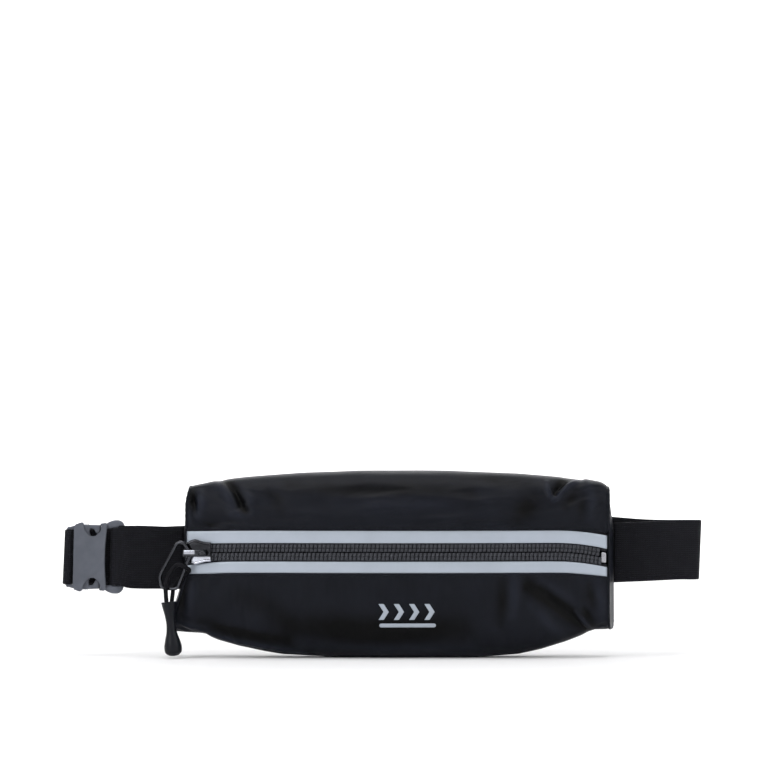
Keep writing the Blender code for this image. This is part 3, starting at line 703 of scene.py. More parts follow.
def line_distance(x, z, points):
    """Distance from (x, z) to a polyline, and the share of its length at the nearest place."""
    best = np.full(x.shape, 1e9)
    where = np.zeros(x.shape)
    points = np.array(points, float)
    lengths = arc_lengths(points)
    for start, end, so_far in zip(points, points[1:], lengths):
        along = end - start
        size = np.linalg.norm(along)
        s = np.clip(((x - start[0]) * along[0] + (z - start[1]) * along[1]) / size ** 2, 0, 1)
        distance = np.hypot(x - start[0] - s * along[0], z - start[1] - s * along[1])
        nearer = distance < best
        best = np.where(nearer, distance, best)
        where = np.where(nearer, (so_far + s * size) / lengths[-1], where)
    return best, where


def surface_normals(points):
    du = np.gradient(points, axis=0)
    dv = np.gradient(points, axis=1)
    normal = np.cross(du, dv)
    return normal / np.linalg.norm(normal, axis=-1)[..., None].clip(1e-9)


def wrinkle(points, size, seed):
    """Soft uneven cloth, from -1 to 1, slower along x than up."""
    shift = Vector((seed * 7.31, seed * 3.77, seed * 5.13))
    flat = points.reshape(-1, 3)
    values = [noise.noise(Vector((x / (1.5 * size), y / size, z / size)) + shift) for x, y, z in flat]
    return np.array(values).reshape(points.shape[:2])


def edge_fade(shape, margins):
    """0 on a grid's sewn edges, rising to 1 inside: margins are counts of rows for each side or 0."""
    n, m = shape
    i = np.arange(n)[:, None]
    j = np.arange(m)[None, :]
    fade = np.ones(shape)
    for distance, margin in zip((i, n - 1 - i, j, m - 1 - j), margins):
        if margin:
            fade = fade * np.clip(distance / margin, 0, 1) ** 0.7
    return fade


CREASE_HEIGHT = 1.6                 # a fold of this height has three quarters of the full shade
BROAD = (0.7, 26)                   # soft unevenness: its height and its size
FINE = (0.3, 9)
SCULPT_EDGES = (3, 3, 5, 4)


def sculpt(points, folds, outward, seed):
    """Press the folds and a soft unevenness into a panel, fading out behind the crest, and give their painted
    shade.
    """
    normals = surface_normals(points) * outward
    x, y, z = points[..., 0], points[..., 1], points[..., 2]
    rearward = np.clip((y - FRONT_Y - 10) / 30, 0, 1)
    move = np.zeros(x.shape)
    for line, height, width in folds:
        distance, where = line_distance(x, z, line)
        ends = 0.35 + 0.65 * np.sin(np.pi * np.clip(where, 0.08, 0.92))
        move += height * np.exp(-(distance / width) ** 2) * ends * (1 - rearward) ** 0.8
    # Painted shade for the material: 0 in a fold's valley, 1 on its ridge, 0.5 where flat
    crease_shade = 0.5 + 0.5 * np.tanh(move / CREASE_HEIGHT)
    move += BROAD[0] * wrinkle(points, BROAD[1], seed) + FINE[0] * wrinkle(points, FINE[1], seed + 1)
    move *= edge_fade(move.shape, SCULPT_EDGES)
    # The crest and the belly's lowest line keep their outline and stay off the floor
    move *= 1 - 0.8 * np.abs(normals[..., 2]) ** 3
    pressed = points + normals * move[..., None]
    pressed[..., 2] = np.maximum(pressed[..., 2], np.minimum(z, 0.5) + 0.2 * np.clip(pressed[..., 2], -1, 1))
    return pressed, crease_shade


# ---------------------------------------------------------------- cloth

CLOTH = {"vertex_group_mass": "sewn", "quality": 6, "mass": 0.25, "tension_stiffness": 18,
         "compression_stiffness": 18, "bending_stiffness": 1.2, "shrink_min": -0.010, "use_pressure": False}
CLOTH_GRAVITY = 0.03
CLOTH_FRAMES = 12
CLOTH_CAP = 1.3                     # the furthest that a point moves as the cloth relaxes
CLOTH_SINK = 0.15                   # the furthest that it moves down
FLOOR_LIFT = 0.4                    # and it stays this far off the floor


def settle(thing, pinned):
    """Let a sewn panel relax as cloth: pinned rows stay, the rest gets a little slack and gravity."""
    mesh = thing.data
    before = read_points(mesh)
    group = thing.vertex_groups.new(name="sewn")
    group.add([int(i) for i in pinned], 1.0, "REPLACE")
    cloth = thing.modifiers.new("Cloth", "CLOTH")
    for key, value in CLOTH.items():
        setattr(cloth.settings, key, value)
    cloth.settings.effector_weights.gravity = CLOTH_GRAVITY
    cloth.collision_settings.use_collision = False
    scene = bpy.context.scene
    cloth.point_cache.frame_start = 1
    cloth.point_cache.frame_end = CLOTH_FRAMES
    for step in range(1, CLOTH_FRAMES + 1):
        scene.frame_set(step)
    posed = thing.evaluated_get(bpy.context.evaluated_depsgraph_get())
    after = read_points(posed.to_mesh())
    posed.to_mesh_clear()
    thing.modifiers.remove(cloth)
    thing.vertex_groups.clear()
    scene.frame_set(1)
    move = after - before
    size = np.linalg.norm(move, axis=1)[:, None].clip(1e-9)
    limit = CLOTH_CAP * MM
    move *= limit * np.tanh(size / limit) / size
    move[:, 2] = np.maximum(move[:, 2], -CLOTH_SINK * MM)
    settled = before + move
    settled[:, 2] = np.maximum(settled[:, 2], np.minimum(before[:, 2], FLOOR_LIFT * MM))
    mesh.vertices.foreach_set("co", settled.ravel())
    mesh.update()


def thicken(thing, rounded):
    """Give cloth its wall's thickness, and smooth a coarse grid."""
    solid = thing.modifiers.new("Cloth thickness", "SOLIDIFY")
    solid.thickness = WALL * MM
    solid.offset = 0
    solid.use_even_offset = False
    if rounded:
        rounder = thing.modifiers.new("Rounder", "SUBSURF")
        rounder.levels = 1
        rounder.render_levels = 1


STATIONS = 250                      # rows of a panel's grid along the zip
ACROSS = 92                         # and points across each row
ACROSS_LOWER = 100
ACROSS_BACK = 44
SEWN_MARGIN = 2                     # rows at each edge that the cloth is pinned by


def grid_edges(n, m):
    index = np.arange(n * m).reshape(n, m)
    near, far = slice(None, SEWN_MARGIN), slice(-SEWN_MARGIN, None)
    parts = [index[near], index[far], index[:, near], index[:, far]]
    return np.unique(np.concatenate([p.ravel() for p in parts]))


def mark_crease_shade(thing, crease_shade):
    """Keep how far each place is pressed in, from 0 in a crease to 1 on a ridge, for painted shade and
    highlight.
    """
    layer = thing.data.attributes.new("crease_shade", "FLOAT", "POINT")
    layer.data.foreach_set("value", crease_shade.ravel().astype(np.float32))


def make_panel(name, section, folds, outward, seed, node, count=ACROSS):
    points = shell_surface(section, STATIONS, count)
    points, crease_shade = sculpt(points, folds, outward, seed)
    thing = grid_object(name, points)
    mark_crease_shade(thing, crease_shade)
    settle(thing, grid_edges(STATIONS, count))
    thicken(thing, False)
    return finish_piece(thing, FOLD_SHADED_FABRIC, "pouch", "shell_fabric", node)


SECTION_POINTS = 90                 # of a section of the shell, where the end panels and seams use it
UPPER_NOSE = 60                     # how many of them lie on the front, above the zip
LOWER_NOSE = 62                     # and below it


def make_end(name, side, node):
    """The gusset at one end, between the front's outline and the rear seam, dished inwards a little."""
    count = 44
    upper = upper_section(side, SECTION_POINTS)
    lower = lower_section(side, SECTION_POINTS)
    front = resample(np.concatenate([upper[:UPPER_NOSE][::-1], lower[:LOWER_NOSE]]), count)
    heights = np.linspace(front[0, 1] - 4, front[-1, 1] + 4, count)
    back = np.stack([np.full(count, depth_at(side)), heights], axis=1)
    way = np.linspace(0, 1, count)[:, None]
    rows = []
    for share in np.linspace(0, 1, 31):
        blend = share ** 1.1
        cut = front * (1 - blend) + back * blend
        top = upper[UPPER_NOSE - 1 + int(round(blend * (SECTION_POINTS - UPPER_NOSE)))]
        bottom = lower[LOWER_NOSE - 1 + int(round(blend * (SECTION_POINTS - LOWER_NOSE)))]
        cut = cut + (1 - way) * (top - cut[0]) + way * (bottom - cut[-1])
        row = shell_point(np.full(count, float(side)), cut[:, 0], cut[:, 1])
        dish = 1.0 * np.sin(np.pi * share) * np.sin(np.pi * np.linspace(0, 1, count)) ** 0.5
        row[:, 0] += side * (0.7 - dish)
        rows.append(row)
    points = np.array(rows)
    points[..., 0] += side * 0.5 * wrinkle(points, 12, 20 + side) * edge_fade(points.shape[:2], (4, 4, 4, 4))
    thing = grid_object(name, points)
    thicken(thing, True)
    return finish_piece(thing, PLAIN_FABRIC, "pouch", "shell_fabric", node)


def section_line(section, t):
    """A section's outline as points in space, without the places that lie on another seam."""
    cut = section(t, SECTION_POINTS)[1:-2]
    return shell_point(np.full(len(cut), float(t)), cut[:, 0], cut[:, 1])


def rolled_seam(name, path, radius, lift=(0, 0, 0)):
    """A narrow turned edge where two panels are sewn together, pinched a little at each stitch."""
    path = resample(np.asarray(path) + np.array(lift), max(30, int(arc_lengths(np.asarray(path))[-1] / 0.9)))
    length = arc_lengths(path)
    pinch = radius * (1 + 0.10 * np.sin(length * 2 * np.pi / 3.0))
    thing = tube_object(name, path, pinch, 10)
    return finish_piece(thing, PLAIN_FABRIC, "pouch", "shell_fabric")


def make_seams():
    for side, label in ((-1, "left"), (1, "right")):
        out = (side * 0.35, 0, 0)
        rolled_seam("seam_top_" + label, section_line(upper_section, side), 0.75, out)
        rolled_seam("seam_bottom_" + label, section_line(lower_section, side), 0.75, out)
    stations = np.linspace(-1, 1, 150)
    top = np.array([shell_point(t, depth_at(t), crest_z(t) - SEAM_DROP) for t in stations])
    low = np.array([shell_point(t, depth_at(t), belly_z(t) + SEAM_DROP) for t in stations])
    rolled_seam("seam_rear_top", top, 0.85, (0, 0.15, 0))
    rolled_seam("seam_rear_bottom", low, 0.85, (0, 0.15, 0))


def stitch_mesh(starts, ends, normals, radius):
    """Short rounded stitches as flat six-sided beads."""
    points = []
    faces = []
    profile = [(0.0, 0.25), (0.18, 0.85), (0.5, 1.0), (0.82, 0.85), (1.0, 0.25)]
    sides = 6
    for start, end, normal in zip(starts, ends, normals):
        along = end - start
        across = np.cross(along, normal)
        across /= np.linalg.norm(across)
        base = len(points)
        for share, size in profile:
            sink = -0.35 * radius * (1 - size)
            for k in range(sides):
                angle = 2 * np.pi * k / sides
                offset = across * math.cos(angle) + normal * math.sin(angle)
                points.append(start + along * share + offset * radius * size + normal * sink)
        faces += bead_faces(base, len(profile), sides)
    return points, faces


STITCH = 2.1                        # a stitch's length, the gap after it and its half width
STITCH_GAP = 0.9
STITCH_R = 0.2


def stitch_row(name, path, normals):
    """A row of stitches along a path that lies on a surface."""
    run = arc_lengths(path)
    starts = np.arange(STITCH_GAP, run[-1] - STITCH, STITCH + STITCH_GAP)

    def at(values, array):
        return np.stack([np.interp(values, run, array[:, i]) for i in range(3)], axis=1)

    normal = at(starts, normals)
    normal /= np.linalg.norm(normal, axis=1)[:, None]
    points, faces = stitch_mesh(at(starts, path), at(starts + STITCH, path), normal, STITCH_R)
    return finish_piece(mesh_object(name, points, faces), DARK_THREAD, "pouch", "shell_fabric")


def panel_row(thing, across):
    """Points along a finished panel, two grid rows in from its edge, lifted to its outer face."""
    grid = read_points(thing.data).reshape(STATIONS, across, 3) / MM
    normals = surface_normals(grid)
    if normals[STATIONS // 2, across // 8] @ np.array([0, -1, 0]) < 0:
        normals = -normals
    return grid[2:-2, 2] + normals[2:-2, 2] * (WALL / 2), normals[2:-2, 2]


# ---------------------------------------------------------------- zip, bands and print

def hang(t):
    """How far the zip's right end hangs below its curve."""
    return ZIP_HANG * np.maximum(0.0, (np.asarray(t) - 0.78) / 0.22) ** 1.7


def arc_grid(t_range, heights, fronts, steps, droops=0.0):
    """A closed band section swept along the zip: heights and fronts give the section's corners, and
    its ends hang down a little where it droops."""
    rows = []
    for t in np.linspace(*t_range, steps):
        drop = droops * max(0.0, (-t - 0.80) / 0.2) ** 1.6 + hang(t)
        rows.append([zip_place(t, f, z - drop) for z, f in zip(heights, fronts)])
    return np.array(rows)


def flat_section(low, high, rear, front, corner=0.12):
    """A flat rectangle's outline with slightly cut corners, and extra points across its faces."""
    zs = np.linspace(low + corner, high - corner, 6)
    heights = [low, low, *zs, high, high, *zs[::-1]]
    fronts = [rear + corner, front - corner, *([front] * 6), front - corner, rear + corner, *([rear] * 6)]
    return heights, fronts


def make_tape_or_band(name, low, high, rear, front, material, slot, node, reach=(-0.999, 0.994),
                      droops=0.0):
    heights, fronts = flat_section(low, high, rear, front)
    thing = grid_object(name, arc_grid(reach, heights, fronts, 160, droops), wrap=True, cap=True)
    return finish_piece(thing, material, "pouch", slot, node)


def bar_round(value):
    """A sine or cosine squared off, so that a bar's section has flat faces and rounded corners."""
    return math.copysign(abs(value) ** 0.55, value)


def make_coil(name, side, node):
    """One row of teeth: rounded bars across the tape, a bead of height at each end."""
    start, stop = -CHAIN_END + 0.035, CHAIN_END - 0.019
    pitch = TOOTH_PITCH / HALF_ARC
    count = int((stop - start) / pitch)
    half = 0.90
    points = []
    faces = []
    ups = [0.22, 0.5, 1.1, 2.1, 3.1, 3.8, 4.1]
    heights = [0.95, 1.22, 1.34, 1.28, 1.36, 1.2, 0.6]
    sides = 12
    for i in range(count):
        t = start + (i + (0.25 if side > 0 else 0.75)) * pitch
        base = len(points)
        for up, height in zip(ups, heights):
            for k in range(sides):
                angle = 2 * np.pi * k / sides
                front = -TAPE_T + (height + TAPE_T) * (0.5 + 0.5 * bar_round(math.sin(angle)))
                along = half * bar_round(math.cos(angle)) + 0.10 * (up - 2.1) * side
                points.append(zip_place(t + along / HALF_ARC, front, ZIP_Z + side * up - hang(t)))
        faces += bead_faces(base, len(ups), sides)
    thing = mesh_object(name, points, faces)
    return finish_piece(thing, TEETH, "pouch", "zip_teeth", node)


def make_sewing_line(name, height):
    """The thread that holds a row of teeth: it rides over each tooth and dips between them."""
    ts = np.linspace(-CHAIN_END + 0.03, CHAIN_END - 0.03, 800)
    run = ts * HALF_ARC
    wave = np.cos(run * 2 * np.pi / TOOTH_PITCH)
    path = zip_place(ts, 1.12 + 0.20 * wave, ZIP_Z + height + 0.1 * wave - hang(ts))
    thing = tube_object(name, path, 0.3, 6)
    return finish_piece(thing, THREAD, "pouch", "zip_tape")


def zip_frame(t):
    """Turns (along, front, up) arrays into points round one place on the zip."""
    def place(along, front, up):
        return zip_place(t + along / HALF_ARC, front, ZIP_Z + up - hang(t))
    return place


def make_stop(name, t, low, high, node):
    """A crimped metal stop that bites over the zip tape."""
    outline = rounded_outline(rectangle(-1.25, low, 1.25, high), 0.7)
    thing = plate_object(name, outline, 0.35, 2.3, 0.45, zip_frame(t))
    return finish_piece(thing, STEEL, "pouch", "stop_metal", node)


def make_zip():
    for label, side in (("upper", 1), ("lower", -1)):
        low, high = sorted((ZIP_Z + side * 3.2, ZIP_Z + side * 13.0))
        make_tape_or_band("tape_weave_" + label, low, high, -TAPE_T, 0.0, TAPE, "zip_tape",
                          label + "_zip_tape")
        outer = BAND_OUT_UP if side > 0 else BAND_OUT_LOW
        low, high = sorted((ZIP_Z + side * BAND_IN, ZIP_Z + side * outer))
        make_tape_or_band("bead_band_" + label, low, high, 0.25, 0.85, REFLECTIVE, "reflective_band",
                          label + "_reflective_band", (-0.999 if side > 0 else -1.010, 0.994),
                          0.0 if side > 0 else BAND_SLACK)
        make_coil("coil_" + label, side, label + "_zip_teeth")
        make_sewing_line("coil_thread_" + label, side * 2.1)
        make_stop("stop_top_" + label, -CHAIN_END + 0.014, *sorted((side * 0.6, side * 3.6)),
                  label + "_top_stop")
    make_stop("stop_bottom", CHAIN_END - 0.008, -2.6, 2.6, "bottom_stop")


def chevron(x, z, width, height, weight):
    """A generic pointed bar: two slanted strokes, as one closed outline."""
    tip = width * 0.55
    return [(x, z), (x + weight, z), (x + weight + tip, z + height / 2), (x + weight, z + height),
            (x, z + height), (x + tip, z + height / 2)]


def make_mark(target):
    """A plain reflective print: a row of chevrons over a thin bar, laid on the lower panel."""
    tree = BVHTree.FromObject(target, bpy.context.evaluated_depsgraph_get())
    outlines = [chevron(-1.0 + 7.6 * i, 19.4, 4.6, 8.0, 2.6) for i in range(4)]
    outlines.append(rounded_outline(rectangle(-0.6, 15.6, 27.6, 17.6), 0.9))

    def place(across, front, up):
        points = []
        for x, f, z in zip(across, front, up):
            hit = tree.ray_cast(Vector((x * MM, -0.2, z * MM)), Vector((0, 1, 0)))[0]
            y = hit.y / MM if hit is not None else FRONT_Y
            points.append((x, y - 0.06 - f, z))
        return np.array(points)

    parts = []
    for index, outline in enumerate(outlines):
        dense = resample(np.array(outline + outline[:1]), 60)[:-1]
        parts.append(plate_object(f"print_{index}", dense, 0.2, 0.34, 0.06, place, 1))
    mark = join_pieces("chevron_print", parts)
    return finish_piece(mark, REFLECTIVE, "pouch", "reflective_band", "reflective_mark")


# ---------------------------------------------------------------- slider, ring, cord and tip

ALONG_X, ALONG_Y = math.cos(SLIDER_ANGLE), math.sin(SLIDER_ANGLE)   # the zip's direction at the slider


def slider_frame(along, front, up):
    """Points from the slider's own frame: along the zip, out of the pouch, up from the zip."""
    along, front, up = np.broadcast_arrays(np.asarray(along, float), front, up)
    radius = ZIP_R + front
    x = POUCH_X + along * ALONG_X + radius * ALONG_Y
    y = FRONT_Y + ZIP_R + along * ALONG_Y - radius * ALONG_X
    return np.stack([x, y, ZIP_Z + up], axis=-1)


RING_CORNERS = [(0.6, -0.4), (-3.2, 5.5), (-6.3, 5.0), (-15.4, -11.6), (-14.0, -17.7), (-6.4, -17.9)]
RING_AT = slider_frame(-3.1, 5.2, -0.5)      # a point of the axis that the ring flips about


def ring_frame(along, front, up):
    """Points from the ring's flip axis, in the slider's directions."""
    along, front, up = np.broadcast_arrays(np.asarray(along, float), front, up)
    x = along * ALONG_X + front * ALONG_Y
    y = along * ALONG_Y - front * ALONG_X
    return RING_AT + np.stack([x, y, up], axis=-1)




# The middle of the ring's lowest wire: along and up from the ring's axis
LOW_WIRE = np.add(RING_CORNERS[4], RING_CORNERS[5]) / 2


def tip_frame(along, front, up):
    """Points from the ring's lowest wire, which the tip swings from."""
    return ring_frame(np.asarray(along, float) + LOW_WIRE[0], front, np.asarray(up, float) + LOW_WIRE[1])


# The cord's route, repeated from the part's source: across, out of the pouch and up, from the ring's
# lowest wire
CORD_ROUTE = [(-1.3, 0.9, -8.4), (-1.35, 1.3, -6.0), (-1.4, 2.0, -3.0), (-1.4, 2.35, 0.2), (-1.1, 2.0, 3.2),
              (0.0, 1.7, 6.6), (2.0, 1.5, 9.8), (4.3, 1.8, 11.8), (6.6, 2.35, 11.8), (8.6, 2.1, 10.8),
              (10.0, 0.3, 9.6), (9.3, -1.7, 8.5), (7.3, -2.35, 7.2), (5.0, -2.35, 5.2), (2.9, -2.35, 2.6),
              (1.4, -2.2, 0.0), (1.1, -1.6, -3.0), (0.9, -0.9, -6.0), (0.8, -0.6, -8.4)]
CORD_R = 1.1
BRAID_DEPTH = 0.06                  # as a share of the cord's radius
BRAID_TURN = 3.2                    # radians for each millimetre
TIP_MOUTH_DROP = 6.6
TIP_PROFILE = [(0.0, -2.2), (3.0, -2.2), (3.2, 0.0), (3.9, -0.2), (3.45, -2.8), (2.8, -6.2), (2.4, -9.5),
               (2.35, -12.0), (2.75, -15.5), (3.7, -19.0), (4.4, -22.2), (4.1, -25.2), (2.5, -26.7),
               (0.0, -27.1)]
TIP_TILT = math.radians(-5.5)
TIP_SHIFT = -0.4


def make_cord():
    """A thin round braid from the tip, round the ring and back into the tip."""
    route = smooth_path(CORD_ROUTE, 0.45)
    path = tip_frame(route[:, 0], route[:, 1], route[:, 2])
    sides = 16
    rings = tube_rings(path, CORD_R, sides)
    run = arc_lengths(path)[:, None]
    turn = 2 * np.pi * np.arange(sides)[None, :] / sides
    braid = BRAID_DEPTH * np.sin(run * BRAID_TURN + 4 * turn) * np.sin(run * BRAID_TURN - 4 * turn)
    rings = path[:, None] + (rings - path[:, None]) * (1 + braid[..., None] - 0.03)
    thing = grid_object("cord_loop", rings, wrap=True, cap=True)
    thing.data.materials.append(CORD)
    lowest = tip_frame(0.0, 0.0, -4.5)
    highest = tip_frame(0.0, 0.0, 0.5)
    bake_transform(thing)
    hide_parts("pull_cord")
    return thing


CAMERA_LENS = 279.4
CAMERA_PLACE = (1.75 * MM, -3.0, 136.75 * MM)


def make_camera_and_stage():
    """A level view straight at the front, and a pale floor that curves up all round."""
    camera = bpy.data.cameras.new("camera")
    camera.sensor_width = 36.0
    camera.lens = CAMERA_LENS
    camera.clip_start = 0.05
    camera.clip_end = 60.0
    holder = new_object("camera", camera)
    holder.location = CAMERA_PLACE
    holder.rotation_euler = (math.pi / 2, 0, 0)
    bpy.context.scene.camera = holder

    flat, bend, wall = 4.2, 2.5, 6.0    # in metres: the floor's radius, its curve up, the wall's top
    profile = [(0.001, 0.0), (1.0, 0.0), (3.0, 0.0), (flat, 0.0)]
    profile += [(flat + bend * math.sin(a), bend * (1 - math.cos(a)))
                for a in np.linspace(0.1, np.pi / 2, 14)]
    profile.append((flat + bend, wall))
    turn = np.linspace(0, 2 * np.pi, 97)[:-1]
    rings = [np.stack([radius * np.cos(turn), radius * np.sin(turn), np.full(96, height)], axis=1)
             for radius, height in profile]
    floor = grid_object("floor", np.array(rings) / MM, wrap=True)
    paint = make_solid("scene_floor", (0.90, 0.90, 0.905), 0.75, 40.0, 0.0, 0.03, (0.995, 1.005))
    floor.data.materials.append(paint)


POUCH_MIDDLE = (0, 0, 0.05)
# Each light in metres and watts: its name, place, target, size and power
LIGHTS = [("softbox_top", (0.0, -0.1, 1.7), POUCH_MIDDLE, (1.5, 0.9), 13.0),
          ("softbox_left", (-1.5, -1.6, 1.1), POUCH_MIDDLE, (0.9, 1.3), 17.0),
          ("softbox_right", (1.6, -1.5, 1.0), POUCH_MIDDLE, (0.9, 1.3), 9.0),
          ("softbox_rear", (0.4, 1.8, 1.3), POUCH_MIDDLE, (1.2, 1.0), 4.0),
          ("backdrop_light", (0.0, 2.2, 3.2), (0.0, 6.2, 0.9), (4.5, 1.5), 260.0)]


def make_lights():
    bpy.context.scene.view_settings.view_transform = "Standard"
    world = bpy.data.worlds.new("studio")
    bpy.context.scene.world = world
    world.use_nodes = True
    world.node_tree.nodes["Background"].inputs["Color"].default_value = (1, 1, 1, 1)
    world.node_tree.nodes["Background"].inputs["Strength"].default_value = 0.55
    for name, place, target, size, power in LIGHTS:
        light = bpy.data.lights.new(name, "AREA")
        light.shape = "RECTANGLE"
        light.size, light.size_y = size
        light.energy = power
        holder = new_object(name, light)
        holder.location = place
        holder.rotation_euler = (Vector(target) - Vector(place)).to_track_quat("-Z", "Y").to_euler()


SLIDER_SHIFT = 0.9                  # the casting sits this far along the zip from the slider's origin


def slider_place(along, front, up):
    return slider_frame(np.asarray(along, float) + SLIDER_SHIFT, front, up)


def make_slider():
    """The slider's front plate with rolled flanges, its throat, the bridge and the small bead on it."""
    half = [(-6.9, 2.2), (-6.6, 3.6), (-4.6, 4.9), (-2.0, 5.85), (0.6, 5.2), (3.4, 4.5), (6.2, 4.3)]
    outline = mirrored(half)
    smaller = [(x * 0.86, z * 0.88) for x, z in outline]
    parts = [plate_object("slider_plate", rounded_outline(outline, 0.8, 3), 2.45, 1.1, 0.4, slider_place),
             plate_object("slider_rear", rounded_outline(smaller, 0.8, 3), -2.1, 1.0, 0.35, slider_place)]
    for side in (1, -1):
        rim = [(x, 2.35, side * z) for x, z in half[1:]]
        path = smooth_path(rim, 0.5)
        path[:, 2] -= side * 0.35
        parts.append(tube_object(f"slider_flange_{side}", slider_place(*path.T), 0.85, 12))
    wedge = rounded_outline(rectangle(-4.6, -0.2, -1.6, 0.2), 0.1, 2)
    parts.append(plate_object("slider_wedge_core", wedge, 0.3, 4.2, 0.05, slider_place))
    body = join_pieces("slider_casting", parts)
    finish_piece(body, CAST_METAL, "slider", "slider_metal", "slider_body")

    side_view = rounded_outline([(-7.2, 2.9), (-7.2, 7.3), (-6.3, 8.0), (1.6, 8.0), (3.4, 7.6), (4.6, 6.2),
                                 (4.6, 2.9), (1.9, 2.9), (1.8, 6.8), (-6.2, 6.9), (-6.25, 2.9)], 0.5, 3)

    def stand(along, across, front):
        return slider_place(along, front, across)

    bar = plate_object("bridge_bar", side_view, -0.5, 3.4, 0.5, stand)
    bead_path = smooth_path([(1.4, 7.7, -0.5), (2.6, 7.7, -0.5), (3.8, 7.0, -0.5), (4.2, 5.6, -0.5)], 0.3)
    swell = 1.35 * np.sin(np.linspace(0.35, np.pi - 0.35, len(bead_path))) ** 0.5
    bead = tube_object("bridge_bead", slider_place(*bead_path.T), swell, 16)
    bridge = join_pieces("bridge_cast", [bar, bead])
    finish_piece(bridge, BRIDGE_METAL, "slider", "slider_metal", "slider_bridge")


def make_ring():
    outline = rounded_outline(RING_CORNERS, 1.9, 6)
    path = np.array([ring_frame(x, 0.0, z) for x, z in outline])
    path = resample(np.concatenate([path, path[:1]]), 170)[:-1]
    thing = tube_object("ring_wire", path, 0.85, 16, closed=True)
    return finish_piece(thing, RING_METAL, "ring", "slider_metal", "pull_ring")


def make_tip():
    """The moulded rubber end: a lathe shape with a soft lip and a faint mould line."""
    knots = np.array(TIP_PROFILE)
    outer = smooth_path(np.column_stack([knots[3:-1], np.zeros(len(knots) - 4)]), 0.45)[:, :2]
    lip = [(0.0, -2.2), (1.5, -2.2), (2.9, -2.1), (3.05, -1.2), (3.15, -0.2), (3.45, 0.0), (3.8, -0.02)]
    profile = np.concatenate([np.array(lip), outer, [(1.3, -27.0), (0.0, -27.1)]])
    sides = 40
    angles = 2 * np.pi * np.arange(sides) / sides
    rings = []
    for radius, drop in profile:
        radius = max(radius, 0.02)      # no ring shrinks to a point
        line = 1 + 0.02 * np.exp(-((np.abs(np.sin(angles)) - 1) / 0.012) ** 2)
        x = radius * np.cos(angles) * line
        f = radius * np.sin(angles) * line
        # Tilted about the mouth, the bottom to the right
        across = TIP_SHIFT + x * math.cos(TIP_TILT) + drop * math.sin(TIP_TILT)
        up = -TIP_MOUTH_DROP - x * math.sin(TIP_TILT) + drop * math.cos(TIP_TILT)
        world = tip_frame(across, f, up)
        rings.append(world)
    thing = grid_object("rubber_end", np.array(rings)[::-1], wrap=True, cap=True)
    return finish_piece(thing, RUBBER, "tip", "tip_rubber", "pull_tip")


# ---------------------------------------------------------------- belts

BELT_W = 30.0
BELT_T = 1.2
PLUG_W = 29.2
LOOP_W = 27.5
HALF_SPAN = 159.4
RIGHT_SPAN = 161.2                  # the fold at the right reaches a little further out
PLUG_BAR_X = -131.6
SOCKET_BAR_X = -156.85
END_LEAN = 0.042                    # the webbing leans to the right at both of its outer folds


def belt_object(name, path):
    """Webbing on edge with rounded selvedges along (x, y, middle height, width) points."""
    path = np.asarray(path, float)
    tangent = np.gradient(path[:, :2], axis=0)
    tangent /= np.linalg.norm(tangent, axis=1)[:, None]
    normal = np.stack([tangent[:, 1], -tangent[:, 0]], axis=1)
    half = BELT_T / 2
    turns = np.linspace(-np.pi / 2, np.pi / 2, 5)[1:-1]
    lanes = 12
    rings = []
    for (x, y, z, width), (nx, ny) in zip(path, normal):
        inner = width / 2 - half
        face = np.linspace(-inner, inner, lanes)
        section = [(half, z + v) for v in face]
        section += [(half * math.cos(a), z + inner + half * math.sin(a)) for a in turns + np.pi / 2]
        section += [(-half, z + v) for v in face[::-1]]
        section += [(half * math.cos(a), z - inner + half * math.sin(a)) for a in turns - np.pi / 2]
        lean = END_LEAN * min(1.0, max(0.0, (abs(x) - 120) / 30))
        rings.append([(x + nx * o + lean * (h - z), y + ny * o, h) for o, h in section])
    return grid_object(name, np.array(rings), wrap=True, cap=True)


def belt_path(stretches):
    """One smooth plan path through (x, y, middle height, width) points, less any that nearly meet."""
    points = np.array(stretches, float)
    steps = np.linalg.norm(np.diff(points[:, :2], axis=0), axis=1)
    return smooth_path(points[[True, *(steps > 0.25)]], 1.6)


def level(plan, first, last):
    """Give plan points their middle height and width, in even steps from the first pair to the last."""
    steps = max(1, len(plan) - 1)
    return [(x, y, *(a + (b - a) * i / steps for a, b in zip(first, last)))
            for i, (x, y) in enumerate(plan)]


def plan_arc(centre, radius, start, end, steps):
    angles = np.radians(np.linspace(start, end, steps + 1))
    return [(centre[0] + radius * math.cos(a), centre[1] + radius * math.sin(a)) for a in angles]


def make_left_belt():
    wrap = 1.2 + GAP + BELT_T / 2
    seam_x = zip_place(-1.0, 0, 0.0)[0] - LEFT_FLARE - 1.5
    front = [(seam_x, BACK_Y - 3.0, 49.2, 31.2), (-112, -2.4, 49.5, 31.5), (-121, -2.9, 49.7, 31.8),
             (-127, -4.1, 49.9, 31.3), (PLUG_BAR_X, -4.3, 50.7, 29.8)]
    turn = plan_arc((PLUG_BAR_X - 0.8, BUCKLE_Y - 0.3), 3.0, 270, 90, 8)
    back = [(PLUG_BAR_X + 1.2, BUCKLE_Y + wrap), (-124.5, -1.0), (-113.5, -0.9)]
    plug = (BUCKLE_Z + 0.1, PLUG_W)
    path = belt_path(front + level(turn + back, plug, plug))
    thing = belt_object("elastic_left", path)
    return finish_piece(thing, ELASTIC, "pouch", "elastic_webbing", "left_belt")


